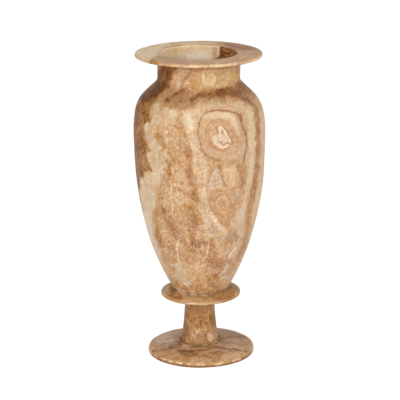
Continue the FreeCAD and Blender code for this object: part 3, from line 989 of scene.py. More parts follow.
# Smooth pale ribbon on the left, and the dark stone behind it
ribbon_patches = [
    ([(173, 84), (180, 84), (178, 88), (172, 92), (167, 96), (163, 99), (161, 103), (160, 108), (158.5, 113),
      (160, 117), (160, 121), (157, 125), (155, 129), (153.5, 134), (154, 140), (157, 143), (160, 146),
      (161.5, 151), (162.5, 156), (164, 161), (163, 167), (164, 172), (163, 179), (160, 184), (157, 188),
      (157, 196), (156, 203), (154, 209), (152.5, 215), (153, 222), (153.5, 229), (155, 236), (157.5, 243),
      (159.5, 250), (162, 257), (164, 264), (166, 270), (169, 276), (171, 281), (150, 284), (110, 200),
      (120, 110), (150, 90)], 0.75, 0.45, 0.8, 5),
    ([(162, 97, 3.5), (167, 93, 4), (172, 88, 4)], 0.50, 0.70, 0.5, 4),
    ([(158.5, 101, 3)], 0.56, 0.60, 0.4, 3),
    # Painted highlight: the greyish sheen of the lamp on the left shoulder
    ([(155.5, 108, 2), (154.5, 114, 2.5)], 0.66, 0.15, 0.2, 4),
    ([(160, 106, 2), (160.5, 113, 2)], 0.58, 0.75, 0.4, 4),
    ([(157, 119, 2.5)], 0.66, 0.25, 0.3, 4),
    ([(151, 126, 3), (149, 133, 2.5)], 0.68, 0.52, 0.6, 4),
    ([(150, 139, 2.5), (153, 146, 3)], 0.76, 0.45, 0.6, 3),
    ([(155, 150, 3), (156, 158, 4), (157, 167, 4)], 0.74, 0.48, 0.7, 4),
    ([(159, 152, 1.5), (161, 164, 1.5)], 0.66, 0.60, 0.7, 3),
    ([(150.5, 157, 1.5), (153, 165, 1.5)], 0.68, 0.55, 0.5, 3),
    ([(147, 180, 5), (156, 178, 4)], 0.79, 0.50, 0.3, 4),
    ([(147, 191, 4), (147, 197, 4)], 0.75, 0.55, 0.3, 4),
    ([(148, 204, 4)], 0.81, 0.35, 0.2, 4),
    ([(154, 196, 1.5), (153, 206, 1.5)], 0.78, 0.45, 0.3, 2.5),
    ([(147, 215, 4), (148, 230, 4), (151, 240, 3)], 0.84, 0.32, 0.1, 3),
    ([(154, 249, 2.8), (158, 259, 2.5), (163, 267, 2)], 0.80, 0.30, 0.1, 2),
    ([(137.5, 176, 1.5), (138.5, 190, 1.5), (140, 201, 1.2)], 0.48, 0.70, 0.4, 2),
]
ribbon_veins = [
    ([(152.5, 126), (150, 132), (151, 138), (155, 144)], 0.7, -0.06),
    ([(157, 104), (155, 110), (156, 117)], 0.8, 0.05),
    ([(152, 152), (153, 160), (156, 170), (155, 180)], 0.8, -0.05),
    ([(150, 176), (151, 190), (150, 205), (149, 222)], 0.9, -0.04),
    ([(144, 186), (144, 200), (146, 216)], 0.9, 0.04),
    ([(158, 150), (160, 158), (159.5, 168), (161, 176)], 0.7, -0.06),
]
lay(vessel_stone, smooth, front, ribbon_patches)
draw(vessel_stone, smooth, front, ribbon_veins)
dark_side_patches = [
    ([(150, 60), (179, 62), (178, 67.5), (174, 71), (172, 76), (171.5, 82), (169, 87), (164, 91), (160.5, 95),
      (157, 98), (155, 101.5), (152.5, 106), (150.5, 111), (150, 116), (151, 119), (152, 121.5), (147, 123),
      (143, 124.5), (143.5, 131), (143.5, 137), (145, 142), (147, 146), (150, 149), (150.5, 151.5),
      (146.5, 154), (147, 158), (148.5, 163), (151, 167), (153.5, 171.5), (151, 172.5), (147.5, 170.5),
      (144.5, 172), (144.5, 177), (142, 178.5), (140.5, 176), (139.5, 181), (139.5, 187), (125, 187),
      (110, 120), (125, 88), (145, 72)], 0.29, 1.05, 1.1, 3),
    ([(163, 76, 8), (161, 84, 5), (155, 91, 5.5), (144, 98, 5)], 0.07, 1.20, 0.8, 5),
    ([(164.5, 70, 1), (164.5, 80, 1.2), (168, 87, 1.4)], 0.22, 1.20, 0.6, 2),
    ([(149, 104, 2), (147, 112, 2.5), (147.5, 119, 2)], 0.32, 1.10, 0.8, 3),
    ([(142, 128, 2), (144, 140, 2), (147, 148, 1.5)], 0.35, 1.10, 0.9, 3),
    ([(136, 108, 3), (135, 125, 3)], 0.21, 0.95, 1.0, 4),
    ([(135, 136, 2.5), (136, 150, 2.5), (138, 165, 2.5)], 0.26, 0.85, 1.0, 4),
    ([(141, 152, 2.5), (144, 163, 3), (147, 169, 2)], 0.40, 0.95, 0.9, 4),
    ([(163, 92, 0.6), (157.5, 98, 0.8), (153.5, 105, 0.8), (151.5, 111, 0.8), (151, 117, 0.8)],
     0.50, 0.80, 0.6, 4),
    ([(144, 128, 0.4), (144.5, 138, 0.4), (147.5, 145, 0.4)], 0.50, 0.80, 0.6, 3),
]
dark_side_streaks = [
    ([(146, 74), (145, 80)], 0.7, 0.12),
    ([(159, 66), (160, 72)], 0.6, 0.14),
    ([(166, 68), (165.5, 76)], 0.6, 0.14),
    ([(155, 86), (151, 90)], 0.6, 0.12),
    ([(149, 93), (146, 98), (145, 103)], 0.7, 0.14),
    ([(141, 100), (139.5, 106)], 0.6, 0.14),
    ([(146, 106), (145.5, 112)], 0.6, 0.14),
    ([(137, 109), (136.5, 116)], 0.6, 0.16),
    ([(141, 120), (140.5, 127)], 0.6, 0.14),
    ([(137, 128), (137, 136)], 0.6, 0.12),
    ([(140, 138), (141, 146)], 0.6, 0.12),
]
left_shoulder_patches = [
    ([(163, 100), (170, 96), (180, 93), (191, 95), (197, 101), (195, 108), (186, 109.5), (172, 108),
      (162, 108)], 0.43, 0.70, 0.5, 7),
    ([(163.5, 103, 1.5), (164, 107, 1.5)], 0.45, 0.95, 0.6, 2.5),
    ([(188, 104, 3.5), (182, 106, 2.5)], 0.55, 0.48, 0.4, 4),
    ([(183, 91, 3), (188, 93, 2.5)], 0.43, 0.85, 0.8, 3),
    ([(170, 98, 2), (175, 96, 2)], 0.38, 0.85, 0.6, 3),
    ([(184, 108.3, 1), (188, 110, 1)], 0.38, 0.80, 0.7, 2.5),
]
left_shoulder_spots = [
    ([(165.5, 101, 1.2), (168, 100, 1.6)], 0.10, 0.85, 0.4, 2),
    ([(171, 97.5, 1), (174, 95.5, 1)], 0.28, 0.85, 0.5, 2),
    ([(177, 93.8, 1.6)], 0.20, 0.85, 0.5, 2),
    ([(180, 91.5, 1), (183, 89.5, 1)], 0.32, 0.85, 0.5, 2),
]
lay(vessel_stone, smooth, front, dark_side_patches)
draw(vessel_stone, streaky, front, dark_side_streaks)
lay(vessel_stone, ragged, front, left_shoulder_patches)
lay(vessel_stone, smooth, front, left_shoulder_spots)

# Pale band down the middle
pale_band_patches = [
    ([(183, 111), (190, 109), (200, 109), (203, 114), (199, 121), (198, 130), (199, 141), (201, 149),
      (205, 155), (208, 161), (209, 168), (208, 175), (206, 182), (205, 188), (206, 195), (208, 201),
      (209, 207), (213, 214), (219, 220), (224, 225), (228, 231), (226, 238), (222, 246), (219, 250),
      (213, 242), (207, 233), (205, 226), (204, 219), (202, 211), (200.5, 203), (199.5, 194), (198, 184),
      (197, 176), (195.5, 168), (194, 160), (193, 153), (191, 147), (191, 141), (188.5, 135),
      (185.5, 129), (183.5, 122)], 0.74, 0.54, 0.6, 4.5),
    ([(188, 115, 3), (190, 122, 4), (192, 129, 3)], 0.86, 0.40, 0.3, 5),
    ([(194, 137, 2), (196, 150, 2), (198, 165, 2)], 0.71, 0.44, 0.7, 3),
    ([(203, 175, 2.5), (203.5, 186, 2.5)], 0.69, 0.58, 0.6, 4),
    ([(203, 202, 2), (205, 212, 2.5), (209, 222, 3), (214, 232, 3)], 0.66, 0.42, 0.9, 4),
    ([(207, 219, 1.5), (206.5, 227, 1.5)], 0.76, 0.20, 0.8, 3),
    ([(211, 213, 1.8), (215, 220, 2), (218, 226, 2)], 0.79, 0.60, 0.7, 3),
    ([(220, 238, 3), (221, 245, 2)], 0.73, 0.48, 0.9, 4),
]
pale_band_streaks = [
    ([(204, 206), (208, 213), (214, 220), (220, 226)], 0.7, 0.10),
    ([(202, 210), (204, 218), (208, 226), (213, 232)], 0.6, 0.10),
    ([(205, 222), (209, 230), (214, 237), (217, 244)], 0.7, -0.12),
    ([(208, 218), (213, 226), (219, 233)], 0.6, -0.10),
    ([(200, 196), (203, 204), (206, 210)], 0.6, -0.08),
    ([(212, 236), (215, 241)], 0.7, 0.10),
    ([(193, 122), (195, 132), (198, 142)], 0.8, -0.04),
    ([(197, 155), (200, 165), (202, 176), (202.5, 186)], 0.8, -0.05),
    ([(205, 164), (204.5, 176), (203.5, 184), (205, 194)], 0.7, 0.05),
]
lay(vessel_stone, smooth, front, pale_band_patches)
draw(vessel_stone, streaky, front, pale_band_streaks)

# Right side
right_side_patches = [
    ([(243, 98), (260, 90), (275, 120), (272, 200), (255, 262), (238, 286), (222, 286), (232, 262),
      (240, 240), (244, 215), (246, 190), (246, 160), (248, 140), (243, 120)], 0.68, 0.60, 0.5, 2.5),
    ([(248, 89, 3), (254, 96, 4)], 0.52, 0.60, 0.6, 5),
    ([(260, 105, 3.5), (258, 100, 3)], 0.64, 0.75, 0.4, 4),
    ([(262.5, 112, 2.5), (264, 130, 2.5), (263.5, 150, 2.5), (262.5, 165, 2.5), (260.5, 185, 2.5),
      (257.5, 200, 2.5), (253.5, 220, 2), (248.5, 240, 2)], 0.74, 0.75, 0.4, 2.5),
    ([(250, 104, 2.5), (250, 112, 3.2), (251.5, 122, 3.2), (252, 132, 3.2), (252.2, 145, 3.1),
      (252.2, 155, 2.8), (251.5, 167, 2.6), (250, 178, 2.5), (248, 190, 2.6)], 0.79, 0.55, 0.3, 2.2),
    ([(248.5, 184, 2.2), (246, 194, 2.2), (244.5, 200, 2)], 0.73, 0.48, 0.4, 2),
    ([(244.5, 204, 2.4), (242.5, 211, 3), (241, 220, 3.2), (240, 228, 3)], 0.78, 0.36, 0.3, 2),
    ([(242, 218, 1.8), (241, 226, 2.4), (239.5, 235, 2.5)], 0.73, 0.30, 0.4, 3),
    ([(252, 103, 1.5), (255.5, 109, 2), (257.2, 118, 2.3), (258, 130, 2.4), (258.2, 145, 2.4), (258, 155, 2)],
     0.44, 0.88, 0.8, 3),
    ([(257.5, 155, 1.8), (256.5, 172, 2.4), (255, 184, 2.6), (252.5, 196, 2.7), (250, 208, 2.6),
      (248, 220, 2.6), (247.5, 231, 2.3), (245.5, 241, 2), (242, 250, 2), (238, 260, 2)],
     0.49, 0.82, 0.8, 3.5),
    ([(240, 242, 2.5), (236, 249, 3), (232, 256, 3)], 0.72, 0.50, 0.5, 4),
    ([(229, 272, 2.5), (234, 265, 2)], 0.60, 0.55, 0.5, 3),
]
lay(vessel_stone, smooth, front, right_side_patches)

# Stone between the pale band and the right side
middle_patches = [
    ([(201, 150), (245, 157), (244, 170), (243, 185), (241, 200), (239, 212), (234, 222), (227, 229),
      (221, 223), (214, 215), (209, 206), (206, 195), (205, 186), (207, 176), (209, 166)],
     0.63, 0.72, 0.6, 2.5),
    ([(208, 159.5), (221, 161), (224, 166), (221, 171), (217, 166), (213, 171), (210.5, 178), (208, 184),
      (209.5, 190), (206, 190), (204.5, 184), (206.5, 176), (208.5, 168)], 0.62, 0.66, 0.6, 4),
    ([(213.5, 169.5), (216, 167), (218.5, 169), (219.5, 175), (222, 182), (223.5, 188), (220, 191),
      (214, 190.5), (209.5, 189), (208.5, 184), (210.5, 178)], 0.72, 0.24, 0.75, 3),
    ([(224, 166), (230, 164.5), (236, 166), (239, 171), (239.5, 178), (239, 184), (235, 187.5), (229, 188),
      (226, 185), (223.5, 178), (222.5, 171)], 0.70, 0.78, 0.7, 3),
    ([(226, 169.5, 1.8), (229, 170, 1.5)], 0.80, 0.60, 0.4, 2),
    ([(231, 176, 2.2), (233, 182, 2.8)], 0.76, 0.70, 0.5, 3),
    ([(238.5, 165.5, 1.5), (239.5, 170, 1.3), (240.5, 175, 1)], 0.48, 0.85, 0.6, 2.5),
    ([(216, 190.5, 2), (225, 191.5, 2)], 0.56, 0.95, 0.6, 2.5),
    ([(222, 202, 9.5)], 0.58, 0.78, 0.6, 4),
    ([(212, 199, 2)], 0.54, 0.90, 0.5, 2.5),
    ([(222.3, 203, 5)], 0.65, 0.62, 0.4, 2.5),
    ([(234, 193, 2.5), (236, 200, 2)], 0.62, 0.55, 0.5, 3),
    ([(211, 211), (222, 213), (236, 209), (234, 217), (230, 223), (226, 228), (221, 225), (216, 220)],
     0.63, 0.72, 0.6, 2),
    ([(218, 219, 1.5), (223, 224, 1.5), (229, 221, 1.2)], 0.56, 0.90, 0.6, 2),
    ([(237, 206, 1.8), (236.5, 216, 1.8), (234, 226, 1.8)], 0.72, 0.70, 0.4, 2),
]
lower_patches = [
    ([(230, 232, 3), (234, 236, 3), (230, 241, 3)], 0.54, 0.36, 0.6, 4),
    ([(212, 240, 2.5), (214, 247, 3), (216, 253, 2.5)], 0.52, 0.85, 0.8, 3),
    ([(225, 246, 3), (228, 243, 2)], 0.60, 0.75, 0.7, 3),
    ([(226, 253, 3), (222, 257, 2.5)], 0.62, 0.70, 0.8, 3),
    ([(203, 255, 3), (203, 262, 2.5)], 0.58, 0.75, 0.9, 3),
    ([(210, 256), (216, 257), (223, 262), (224, 267), (220, 271), (212, 269), (208, 263)],
     0.47, 0.90, 0.8, 5),
    ([(214, 277, 2), (218, 281, 2)], 0.42, 0.95, 0.8, 3),
]
lay(vessel_stone, smooth, front, middle_patches)
lay(vessel_stone, ragged, front, lower_patches)

# Nodule
nodule_patches = [
    ([(199, 141), (197.5, 134), (197.5, 127), (199, 120), (202, 116), (206, 112.5), (211, 110.5),
      (218, 109.8), (224, 110.8), (230, 111.6), (235, 112.6), (239, 115), (241, 119), (243, 126),
      (245.5, 132), (246.8, 140), (246.5, 148), (244.5, 156), (240, 159), (230, 160), (220, 160),
      (212, 158), (206, 155), (201, 149)], 0.67, 0.58, 0.3, 1.5),
    ([(203.5, 117, 1.5), (208, 115, 2), (215, 115, 2.8), (226, 115.5, 2.8), (233, 117.5, 2)],
     0.80, 0.50, 0.3, 3),
    ([(233.5, 120, 2.2), (236, 127, 2.2), (238, 134, 1.8)], 0.79, 0.45, 0.3, 3),
    ([(201, 124, 1.8), (200.5, 133, 2), (203, 143, 2)], 0.66, 0.70, 0.4, 2.5),
    ([(242.5, 130, 1), (244.5, 141, 1.2), (243.5, 152, 1.5)], 0.65, 0.55, 0.4, 2),
    ([(206, 154, 1.5), (215, 157, 2), (228, 158, 2), (238, 156, 2)], 0.67, 0.60, 0.5, 2.5),
    ([(207, 125), (211, 121), (218, 119.5), (226, 120), (231, 123), (234, 129), (236, 134), (239.5, 139),
      (240, 146), (238, 152), (231, 155), (221, 153.5), (213, 150), (207, 145), (205, 138), (205.5, 131)],
     0.63, 0.66, 0.3, 3),
    ([(212, 122.5, 1.5), (221, 121.5, 1.5), (228, 123.5, 1.5)], 0.56, 0.75, 0.3, 2.5),
    ([(207, 131, 1.2)], 0.54, 0.80, 0.4, 2),
    ([(231, 129, 1.5), (234, 136, 1.5)], 0.58, 0.70, 0.4, 2.5),
    ([(214, 129, 3), (211, 136, 2)], 0.66, 0.60, 0.4, 3),
    ([(209, 139, 1), (213, 147, 1.5)], 0.62, 0.65, 0.4, 2),
    ([(234, 144, 3.5), (232, 150, 3), (226, 152, 1.5)], 0.65, 0.55, 0.4, 3),
    ([(212.5, 142), (212.5, 138), (214.5, 135), (219, 133.5), (220, 139), (219.5, 143.5), (217, 145.5),
      (213.5, 144)], 0.82, 0.40, 0.2, 1.0),
    ([(217.5, 128.3), (220, 127), (223, 128), (226, 131), (229, 135), (231, 139), (232, 143), (229.5, 146),
      (227, 148.5), (222, 149.3), (218.5, 147.5), (217, 145), (220, 141), (219.5, 134)],
     0.80, 0.45, 0.25, 1.0),
    ([(221.7, 131, 1.2), (222.7, 133.5, 1)], 0.68, 0.50, 0.3, 1.2),
]
nodule_rings = [
    ([(213, 197.5), (217, 193.8), (224, 192.8)], 0.6, 0.10),
    ([(200, 143), (198, 137), (197.3, 130), (198.5, 123)], 1.0, -0.23),
    ([(198.5, 123), (201.5, 117), (205, 113.5), (208.5, 111.8)], 1.0, -0.17),
    ([(208.5, 111.8), (211, 111)], 0.8, -0.08),
    ([(211, 111), (218, 110.4), (224, 110.9), (230, 111.8), (235, 112.6)], 0.8, -0.27),
    ([(236.5, 113), (239.5, 116.5), (240.5, 119.5)], 1.7, -0.22),
    ([(240.5, 119.5), (242, 126), (244.5, 131.5), (246, 137), (246.8, 143), (246.3, 149), (244.5, 156)],
     1.05, -0.26),
    ([(244.5, 156), (243.3, 163), (243, 171), (242.4, 179), (241.3, 187)], 1.0, -0.16),
    ([(200, 143), (201.5, 149), (205, 154), (209, 157), (215, 159.3), (221, 160.5)], 1.1, -0.20),
    ([(214, 108.8), (222, 108.2), (233, 109.2)], 0.6, 0.09),
    ([(212, 107.3), (222, 106.8), (234, 107.6)], 0.6, -0.06),
    ([(207, 125.5), (211, 121.5), (218, 119.8), (226, 120.3), (231, 123.5)], 0.6, -0.06),
    ([(207, 126), (205.5, 132), (206, 139)], 0.6, -0.08),
    ([(209.5, 129), (209, 137), (211, 143)], 0.5, -0.09),
    ([(208, 141), (211, 146.5), (217, 150.5), (225, 152)], 0.6, -0.12),
    ([(204.5, 143), (208, 149), (214, 153), (222, 155.5)], 0.5, -0.09),
    ([(202, 145), (206, 151.5), (212, 155.5), (220, 158)], 0.5, -0.07),
    ([(211, 130.5), (215, 129), (217, 127.8)], 0.6, -0.10),
    ([(218.3, 128.5), (219.3, 133), (220.3, 138), (220.6, 141)], 0.7, 0.13),
    ([(219, 127.8), (222, 128)], 0.9, 0.14),
    ([(221.8, 130), (223.3, 134), (224.5, 137)], 0.8, -0.12),
    ([(222.5, 128.8), (225, 131.5), (227.8, 135.3), (230.2, 139.5), (231.2, 143)], 0.6, 0.12),
    ([(225.5, 146.3), (227.5, 145.6)], 1.0, 0.12),
    ([(217.5, 144.8), (219, 147.2), (221.5, 148.6), (225, 148.6)], 0.7, 0.12),
    ([(223.3, 127.8), (226.3, 131), (228.8, 134.6), (231.3, 138.8), (232.8, 142.5)], 0.7, -0.28),
    ([(221, 141.8), (222.5, 144.5), (225, 146), (225.5, 144.2), (228, 143)], 0.65, -0.34),
    ([(228, 143), (230, 144.5), (232, 143.8)], 0.6, -0.30),
    ([(216.8, 128.3), (218, 133), (219.2, 138), (219, 143)], 0.6, -0.20),
    ([(216.8, 128.3), (215, 127.5)], 0.7, -0.16),
    ([(212, 142), (213, 145.5), (216.5, 147.5)], 0.6, -0.20),
    ([(218.5, 149), (222, 150), (227, 149.5), (230, 147)], 0.6, -0.16),
    ([(219, 165), (221.5, 171), (223, 178), (225.5, 186), (228.5, 188.5), (235, 188)], 0.8, -0.14),
    ([(212.5, 170), (210, 177), (207.7, 183.5), (208.6, 190)], 0.8, -0.10),
    ([(239.5, 184.5), (240, 177), (239.6, 171), (236, 165.5)], 0.7, -0.09),
    ([(210.5, 193), (209.5, 201), (211.5, 209), (216, 214), (223, 216), (230, 213.5), (235, 207),
      (236.5, 198)], 0.7, -0.10),
    ([(216.3, 204.5), (217.5, 199.5), (221.5, 197), (226.5, 198), (228.3, 201.5), (226, 206.5), (221, 209),
      (217.5, 208), (216.3, 204.5)], 0.7, 0.12),
    ([(219, 203.5), (221.5, 200.8), (224.5, 202.2), (223, 205.5), (220.5, 205)], 0.5, -0.11),
    ([(214.3, 204), (215.5, 198), (221, 194.8), (228, 196), (230.5, 201)], 0.6, -0.08),
    ([(217.5, 220), (222, 224.5), (226, 228)], 0.6, -0.12),
    ([(226, 228), (230.5, 222), (234, 215), (236, 208)], 0.7, -0.12),
    ([(213, 213), (219, 218), (227, 219), (233, 214)], 0.6, -0.08),
    ([(231.5, 219), (232.3, 226)], 0.6, 0.24),
    ([(222, 228), (221, 236), (224, 242)], 0.6, -0.10),
    ([(235, 233), (238, 237)], 0.9, -0.14),
    ([(246.3, 160), (246, 172), (245, 184)], 0.7, -0.06),
]
lay(vessel_stone, calm, front, nodule_patches)
draw(vessel_stone, calm, front, nodule_rings)

# Healed cracks, filled with white calcite
healed_cracks = [
    ([(177, 236), (177.5, 243), (176.6, 249), (178, 255), (179, 262)], 0.55, 0.28),
    ([(209.5, 241), (209.3, 247), (207.8, 252), (204.5, 257), (203.5, 261)], 0.55, 0.28),
    ([(198, 232), (196, 240), (200, 248), (204, 252)], 0.5, 0.12),
    ([(204.5, 257), (199, 262), (196, 268)], 0.5, 0.12),
    ([(178, 255), (182, 258), (184, 264)], 0.5, 0.12),
    ([(172, 252), (170, 258), (172, 266)], 0.5, 0.10),
    ([(212, 248), (218, 252), (224, 250)], 0.5, 0.12),
    ([(193, 247), (196, 243.5), (199.5, 245.5), (202.5, 243.5), (203.5, 247.5), (199, 249)], 0.6, 0.22),
    ([(166.5, 132), (166.5, 140), (167.3, 147), (166, 152), (168, 158)], 0.7, 0.18),
    ([(166.5, 143), (170, 139), (175, 141), (178, 138)], 0.6, 0.15),
    ([(171, 192), (172.5, 186), (175.5, 184), (179, 186)], 0.7, 0.20),
    ([(176, 199), (181, 203), (179, 208)], 0.6, 0.14),
    ([(164, 176), (169, 178.5), (172, 176)], 0.6, 0.14),
    ([(170, 167), (174, 169), (173, 174)], 0.6, 0.12),
    ([(176, 212), (174, 219), (179, 226), (178, 233)], 0.6, 0.12),
    ([(185, 228), (189, 233), (187, 239)], 0.6, 0.12),
    ([(236, 248), (231.5, 253), (229, 257), (228, 262), (226, 268), (223, 272), (220, 276), (216, 281)],
     0.7, 0.20),
    ([(229, 257), (225, 259)], 0.6, 0.12),
    ([(215, 281), (210, 284), (204, 286)], 0.6, 0.14),
    ([(142, 114), (142.5, 118)], 0.7, 0.18),
    ([(138, 113), (139, 117)], 0.6, 0.12),
    ([(139, 127), (139.5, 131)], 0.6, 0.14),
]
draw(vessel_stone, smooth, front, healed_cracks)

# Dark band round the top of the shoulder
dark_band_patches = [
    ([(190, 98), (195, 95), (200, 92.5), (207, 91.5), (213, 90.5), (218, 88.5), (226, 87.5), (232, 87),
      (236, 85.5), (240, 83), (244, 86), (246, 92), (243, 93.5), (246, 96), (250, 99.5), (253, 104),
      (251, 106), (247, 103.5), (243, 100), (239, 98), (235, 98), (230, 97.5), (224, 98), (218, 98.5),
      (212, 99), (207, 99), (201, 99), (196, 100), (191, 101)], 0.33, 0.70, 0.5, 6),
    ([(191, 99.5, 1), (196, 97, 1.4), (201, 95, 1.4)], 0.19, 0.36, 0.5, 3.5),
    ([(205, 94.5, 1.8), (212, 94, 2.2)], 0.28, 0.75, 0.5, 4),
    ([(217, 92.5, 2.5), (225, 92, 2.8)], 0.18, 0.70, 0.4, 4),
    ([(230, 93, 2.8), (239, 93, 2.4)], 0.27, 0.50, 0.4, 4),
    ([(246, 99.5, 1.8), (249.5, 102.5, 1.4)], 0.26, 0.60, 0.5, 3),
    ([(236, 83), (242, 79.5), (253, 90), (247, 93), (241, 91), (237, 89)], 0.32, 0.80, 0.6, 3.5),
]
dark_band_veins = [
    ([(207, 92), (206.5, 99)], 0.5, 0.05),
    ([(212, 91), (213, 99)], 0.5, 0.05),
    ([(226, 90), (226.5, 99)], 0.5, 0.05),
    ([(233, 91), (234, 99)], 0.5, 0.05),
]
lay(vessel_stone, streaky, front, dark_band_patches)
draw(vessel_stone, smooth, front, dark_band_veins)

# Filler smeared over the base
filler_smears = [
    ([(177, 289, 1), (180, 291, 1.2), (184, 292.5, 0.8)], 0.84, 0.40, 0.5, 1.5),
    ([(192, 293, 0.8), (197, 292.5, 0.8), (203, 293.5, 0.8)], 0.76, 0.55, 0.5, 1.5),
]
lay(vessel_stone, ragged, front, filler_smears)

# Iron stains
iron_stains = [
    ([(156, 105, 5), (153, 118, 5)], -0.7, 6),
    ([(150, 130, 8), (154, 160, 8), (148, 190, 10), (148, 215, 10)], -0.3, 8),
    ([(172, 112, 9)], -0.6, 6),
    ([(190, 120, 9)], -0.3, 6),
    ([(196, 106, 4), (222, 104, 4), (240, 104, 4)], -0.5, 5),
    ([(214, 128, 9), (230, 130, 8), (222, 150, 9), (206, 140, 6)], 0.25, 6),
    ([(251, 110, 5), (252, 140, 5)], -0.6, 5),
    ([(196, 84, 6), (210, 77, 8), (228, 78, 8), (238, 76, 6)], -0.6, 6),
    ([(222, 203, 7)], 0.6, 5),
    ([(211, 166, 3), (214, 200, 4)], 0.4, 4),
    ([(190, 155, 4), (190, 178, 4), (192, 184, 4)], 0.2, 4),
    ([(203, 180, 4)], 0.3, 4),
    ([(222, 148, 4), (236, 142, 4)], 0.4, 4),
    ([(215, 108.8, 0.8), (233, 109.3, 0.8)], 1.2, 1.5),
    ([(238, 114, 2), (240, 118, 1.5)], 0.8, 2),
    ([(196, 228, 9), (198, 246, 9), (214, 250, 8)], 0.3, 8),
    ([(217, 263, 9), (226, 275, 8), (234, 262, 6)], 0.5, 8),
    ([(157, 247, 5), (166, 270, 6)], 0.4, 6),
    ([(176, 242, 8), (182, 256, 6)], 0.35, 8),
    ([(234, 94, 5)], 0.5, 5),
    ([(137, 112, 5), (136, 150, 5)], 0.0, 5),
]
rim_stains = [
    ([(120, 55, 14), (150, 52, 9), (172, 48, 10), (200, 44, 6), (214, 44, 4)], -0.7, 6),
    ([(235, 47, 6), (252, 52, 6)], 0.5, 6),
    ([(170, 60, 5), (190, 62, 4)], 0.2, 4),
]
stain(vessel_stone, smooth, 1.0, iron_stains)
stain(vessel_stone, smooth, np.maximum(on_rim, in_bore), rim_stains)

# Back, seen from behind, in millimetres to the right of the axis and up from the floor
back_spots = np.stack([-vessel_places[:, 0], vessel_places[:, 2]], axis=1) / mm
back_spots += fine_waver * 3.0 + small_waver * 1.2 + waver(vessel_places, 30 * mm, 9) * 6
back_patches = [
    ([(-34, 268, 6), (-26, 235, 8), (-30, 200, 9), (-20, 160, 8), (-24, 125, 7), (-14, 95, 5)],
     0.76, 0.45, 0.3, 5),
    ([(-8, 262, 6), (-4, 230, 7), (0, 200, 6), (2, 160, 7), (0, 120, 7)], 0.50, 0.85, 1.0, 6),
    ([(24, 228, 14), (26, 205, 17), (22, 185, 12)], 0.77, 0.50, 0.3, 4),
    ([(25, 210, 10)], 0.64, 0.80, 0.6, 3),
    ([(25, 211, 4)], 0.84, 0.40, 0.3, 3),
    ([(10, 266, 5), (28, 262, 6), (42, 254, 5)], 0.30, 0.75, 0.9, 4),
    ([(46, 225, 6), (48, 190, 6), (42, 150, 6), (34, 115, 5)], 0.50, 0.80, 0.9, 5),
    ([(18, 160, 6), (16, 130, 6), (12, 100, 5)], 0.70, 0.50, 0.5, 5),
]
lay(vessel_stone, back_spots, behind, back_patches)

keep_layers(vessel, vessel_stone)
vessel_calcite = polished_calcite(
    "vessel_calcite_satin_polished", patch_size=12 * mm, curl_size=5.5 * mm, grain_size=1.3 * mm,
    roughness=0.36)
finish(vessel, vessel_calcite, "vessel_body")


# Filler: lime putty tinted with stone dust, pressed into the joints by hand. Where it shows, round the stem's
# base and the vessel's, it is lumpy, dull and a little cracked, with dirt in its hollows, and shade is
# painted on it where it meets the stone.
stem_bead_width = 2.2 * mm
stem_bead_height = 2.6 * mm
stem_bead_root = 2.4 * mm
vessel_bead_width = 2.0 * mm
vessel_bead_height = 2.8 * mm
vessel_bead_root = 1.2 * mm
bead_spacing = 0.4 * mm
bead_steps = 240
lump_size = 3.5 * mm
lump_depth = 1.2 * mm
lump_inward_share = 0.70
filler_tone = 0.45


def lime_filler(name, pale, middle, dirt_and_shade):
    """Trowelled lime filler: matt and gritty, with lumps of 2 to 4 mm; its darkest colour serves for dirt and
    for painted shade.
    """
    material = bare_material(name)
    tree = material.node_tree
    place = add(tree, "TexCoord", {}, output=3)
    tone = add(tree, "Attribute", {}, output=2, attribute_name="tone")
    lumps = add(tree, "TexNoise", {"Vector": place, "Scale": 1 / (4 * mm), "Detail": 4, "Roughness": 0.6})
    lumps = add(tree, "Math", {0: lumps, 1: 0.9, 2: -0.45}, operation="MULTIPLY_ADD")
    tone = add(tree, "Math", {0: tone, 1: lumps}, operation="ADD")
    colour = add(tree, "ValToRGB", {"Fac": tone}, stops=[(0.0, dirt_and_shade), (1.0, pale), (0.5, middle)])
    grit = add(tree, "TexNoise", {"Vector": place, "Scale": 1 / (0.8 * mm), "Detail": 3})
    relief = add(tree, "Bump", {"Height": grit, "Strength": 0.4, "Distance": 0.3 * mm})
    surface = add(tree, "BsdfPrincipled", {"Base Color": colour, "Roughness": 0.85, "Normal": relief})
    add(tree, "OutputMaterial", {"Surface": surface})
    return material


def bead(name, corner, lean, width, height, root, material, node, patches):
    """A lumpy ring of filler in the corner between a flat seat and a leaning side, rooted behind the side."""
    corner, rise = Vector(corner), Vector(lean) * (height / lean[1])
    ring = turned(name, outline(corner - Vector((root, 0)), [
        straight(corner + Vector((width, 0)), bead_spacing),
        bowed((-1, 0.25), corner + rise, bead_spacing),
        straight(corner + rise - Vector((root, 0)), bead_spacing),
        straight(corner - Vector((root, 0)), bead_spacing),
    ]), bead_steps)
    worn(ring, lump_size, lump_depth, lump_inward_share)
    ring_places = places_of(ring)
    ring_spots = in_picture(ring_places) + waver(ring_places, 3 * mm, 10)
    filler = {"tone": np.full(len(ring_places), filler_tone)}
    for marks, tone, soft in patches:
        inside = step_between(gap_to_line(ring_spots, marks), soft / 2, -soft / 2)
        filler["tone"] += (tone - filler["tone"]) * inside
    keep_layers(ring, filler)
    finish(ring, material, node)
    return ring


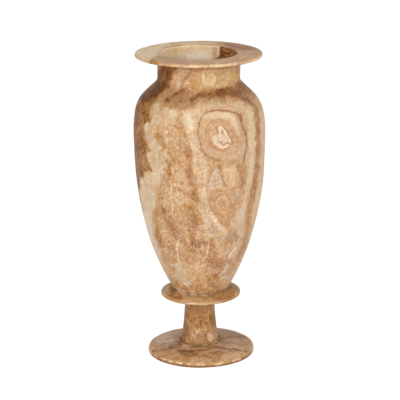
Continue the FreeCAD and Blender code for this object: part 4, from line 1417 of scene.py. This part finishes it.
# Picture coordinates of a mark with its half width in pixels, the tone there, and how soft its edge is
foot_bead_patches = [
    # Painted shade on the bead where the stem's base meets the foot on the left
    ([(182, 340, 4), (186, 346, 3)], 0.15, 3),
    ([(196, 347, 3)], 0.35, 3),
    ([(207, 347, 3)], 0.65, 3),
    ([(215, 342, 3)], 0.50, 3),
]
vessel_bead_patches = [
    # Painted shade where the vessel's base meets the collar on the left
    ([(174, 290, 2.5)], 0.05, 2),
    ([(179, 291, 2), (184, 293, 1.6)], 0.85, 2),
    ([(188, 294, 1)], 0.30, 1.5),
    ([(191.5, 294, 1.6), (196, 294.5, 1.6)], 0.85, 1.5),
    ([(198.2, 295, 0.7)], -0.20, 1),
    ([(202, 296, 1), (206, 296, 1)], 0.80, 1.5),
    # Painted shade where the vessel's base meets the collar on the right
    ([(211, 294.5, 1), (214, 293.5, 2), (222, 291, 2.5)], 0.32, 2),
]
foot_filler = lime_filler("lime_filler_soiled_and_shaded", "#c9ab80", "#9b7a4e", "#553c22")
bead("foot_filler_bead", (stem_base_radius, foot_seat_level), stem_first_lean, stem_bead_width,
     stem_bead_height, stem_bead_root, foot_filler, "foot_bead", foot_bead_patches)
vessel_filler = lime_filler("lime_filler_pale", "#d2b28a", "#ab8155", "#7d5a36")
bead("vessel_filler_bead", (vessel_base_radius, collar_high.z), base_lean, vessel_bead_width,
     vessel_bead_height, vessel_bead_root, vessel_filler, "vessel_bead", vessel_bead_patches)
for node in ("foot_bedding", "collar_bedding", "vessel_bedding"):
    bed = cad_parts[node]
    bed.data.materials.clear()
    bed.data.materials.append(foot_filler if node == "foot_bedding" else vessel_filler)


# Floor and backdrop: white paper, lit evenly, which keeps a faint shadow under the foot.
floor_side = 8
paper_glow_strength = 0.50
room_light = 0.55
backdrop_light = 1.0
paper = bare_material("white_paper")
paper_lit = add(paper.node_tree, "BsdfDiffuse", {"Color": linear("#f4f4f4")})
paper_glow = add(paper.node_tree, "Emission", {"Color": linear("#ffffff"), "Strength": paper_glow_strength})
paper_seen = add(paper.node_tree, "LightPath", {}, output=0)
paper_bright = add(paper.node_tree, "AddShader", {0: paper_lit, 1: paper_glow})
paper_surface = add(paper.node_tree, "MixShader", {0: paper_seen, 1: paper_lit, 2: paper_bright})
add(paper.node_tree, "OutputMaterial", {"Surface": paper_surface})
bpy.ops.object.select_all(action="DESELECT")
bpy.ops.mesh.primitive_plane_add(size=floor_side)
floor = bpy.context.object
floor.name = "paper_floor"
floor.data.materials.append(paper)

world = bpy.data.worlds.new("studio")
world.use_nodes = True
bpy.context.scene.world = world
world.node_tree.nodes.clear()
room = add(world.node_tree, "Background", {"Color": linear("#ffffff"), "Strength": room_light})
backdrop = add(world.node_tree, "Background", {"Color": linear("#ffffff"), "Strength": backdrop_light})
seen = add(world.node_tree, "LightPath", {}, output=0)
both = add(world.node_tree, "MixShader", {0: seen, 1: room, 2: backdrop})
add(world.node_tree, "OutputWorld", {"Surface": both})


# Lamps: two wide soft boxes in front of the vase, the stronger one on the left.
vase_middle = Vector((0, 0, 0.16))
soft_box_side = 1.0
left_lamp_place = (-1.2, -1.5, 1.0)
left_lamp_power = 14.5
right_lamp_place = (1.3, -1.4, 0.8)
right_lamp_power = 12.5


def soft_box(name, place, power):
    """A square soft box that faces the middle of the vase."""
    bpy.ops.object.light_add(type="AREA", location=place)
    lamp = bpy.context.object
    lamp.name = name
    lamp.data.size = soft_box_side
    lamp.data.energy = power
    lamp.rotation_euler = (vase_middle - Vector(place)).to_track_quat("-Z", "Y").to_euler()


soft_box("soft_box_left", left_lamp_place, left_lamp_power)
soft_box("soft_box_right", right_lamp_place, right_lamp_power)

bpy.context.scene.view_settings.view_transform = "Standard"
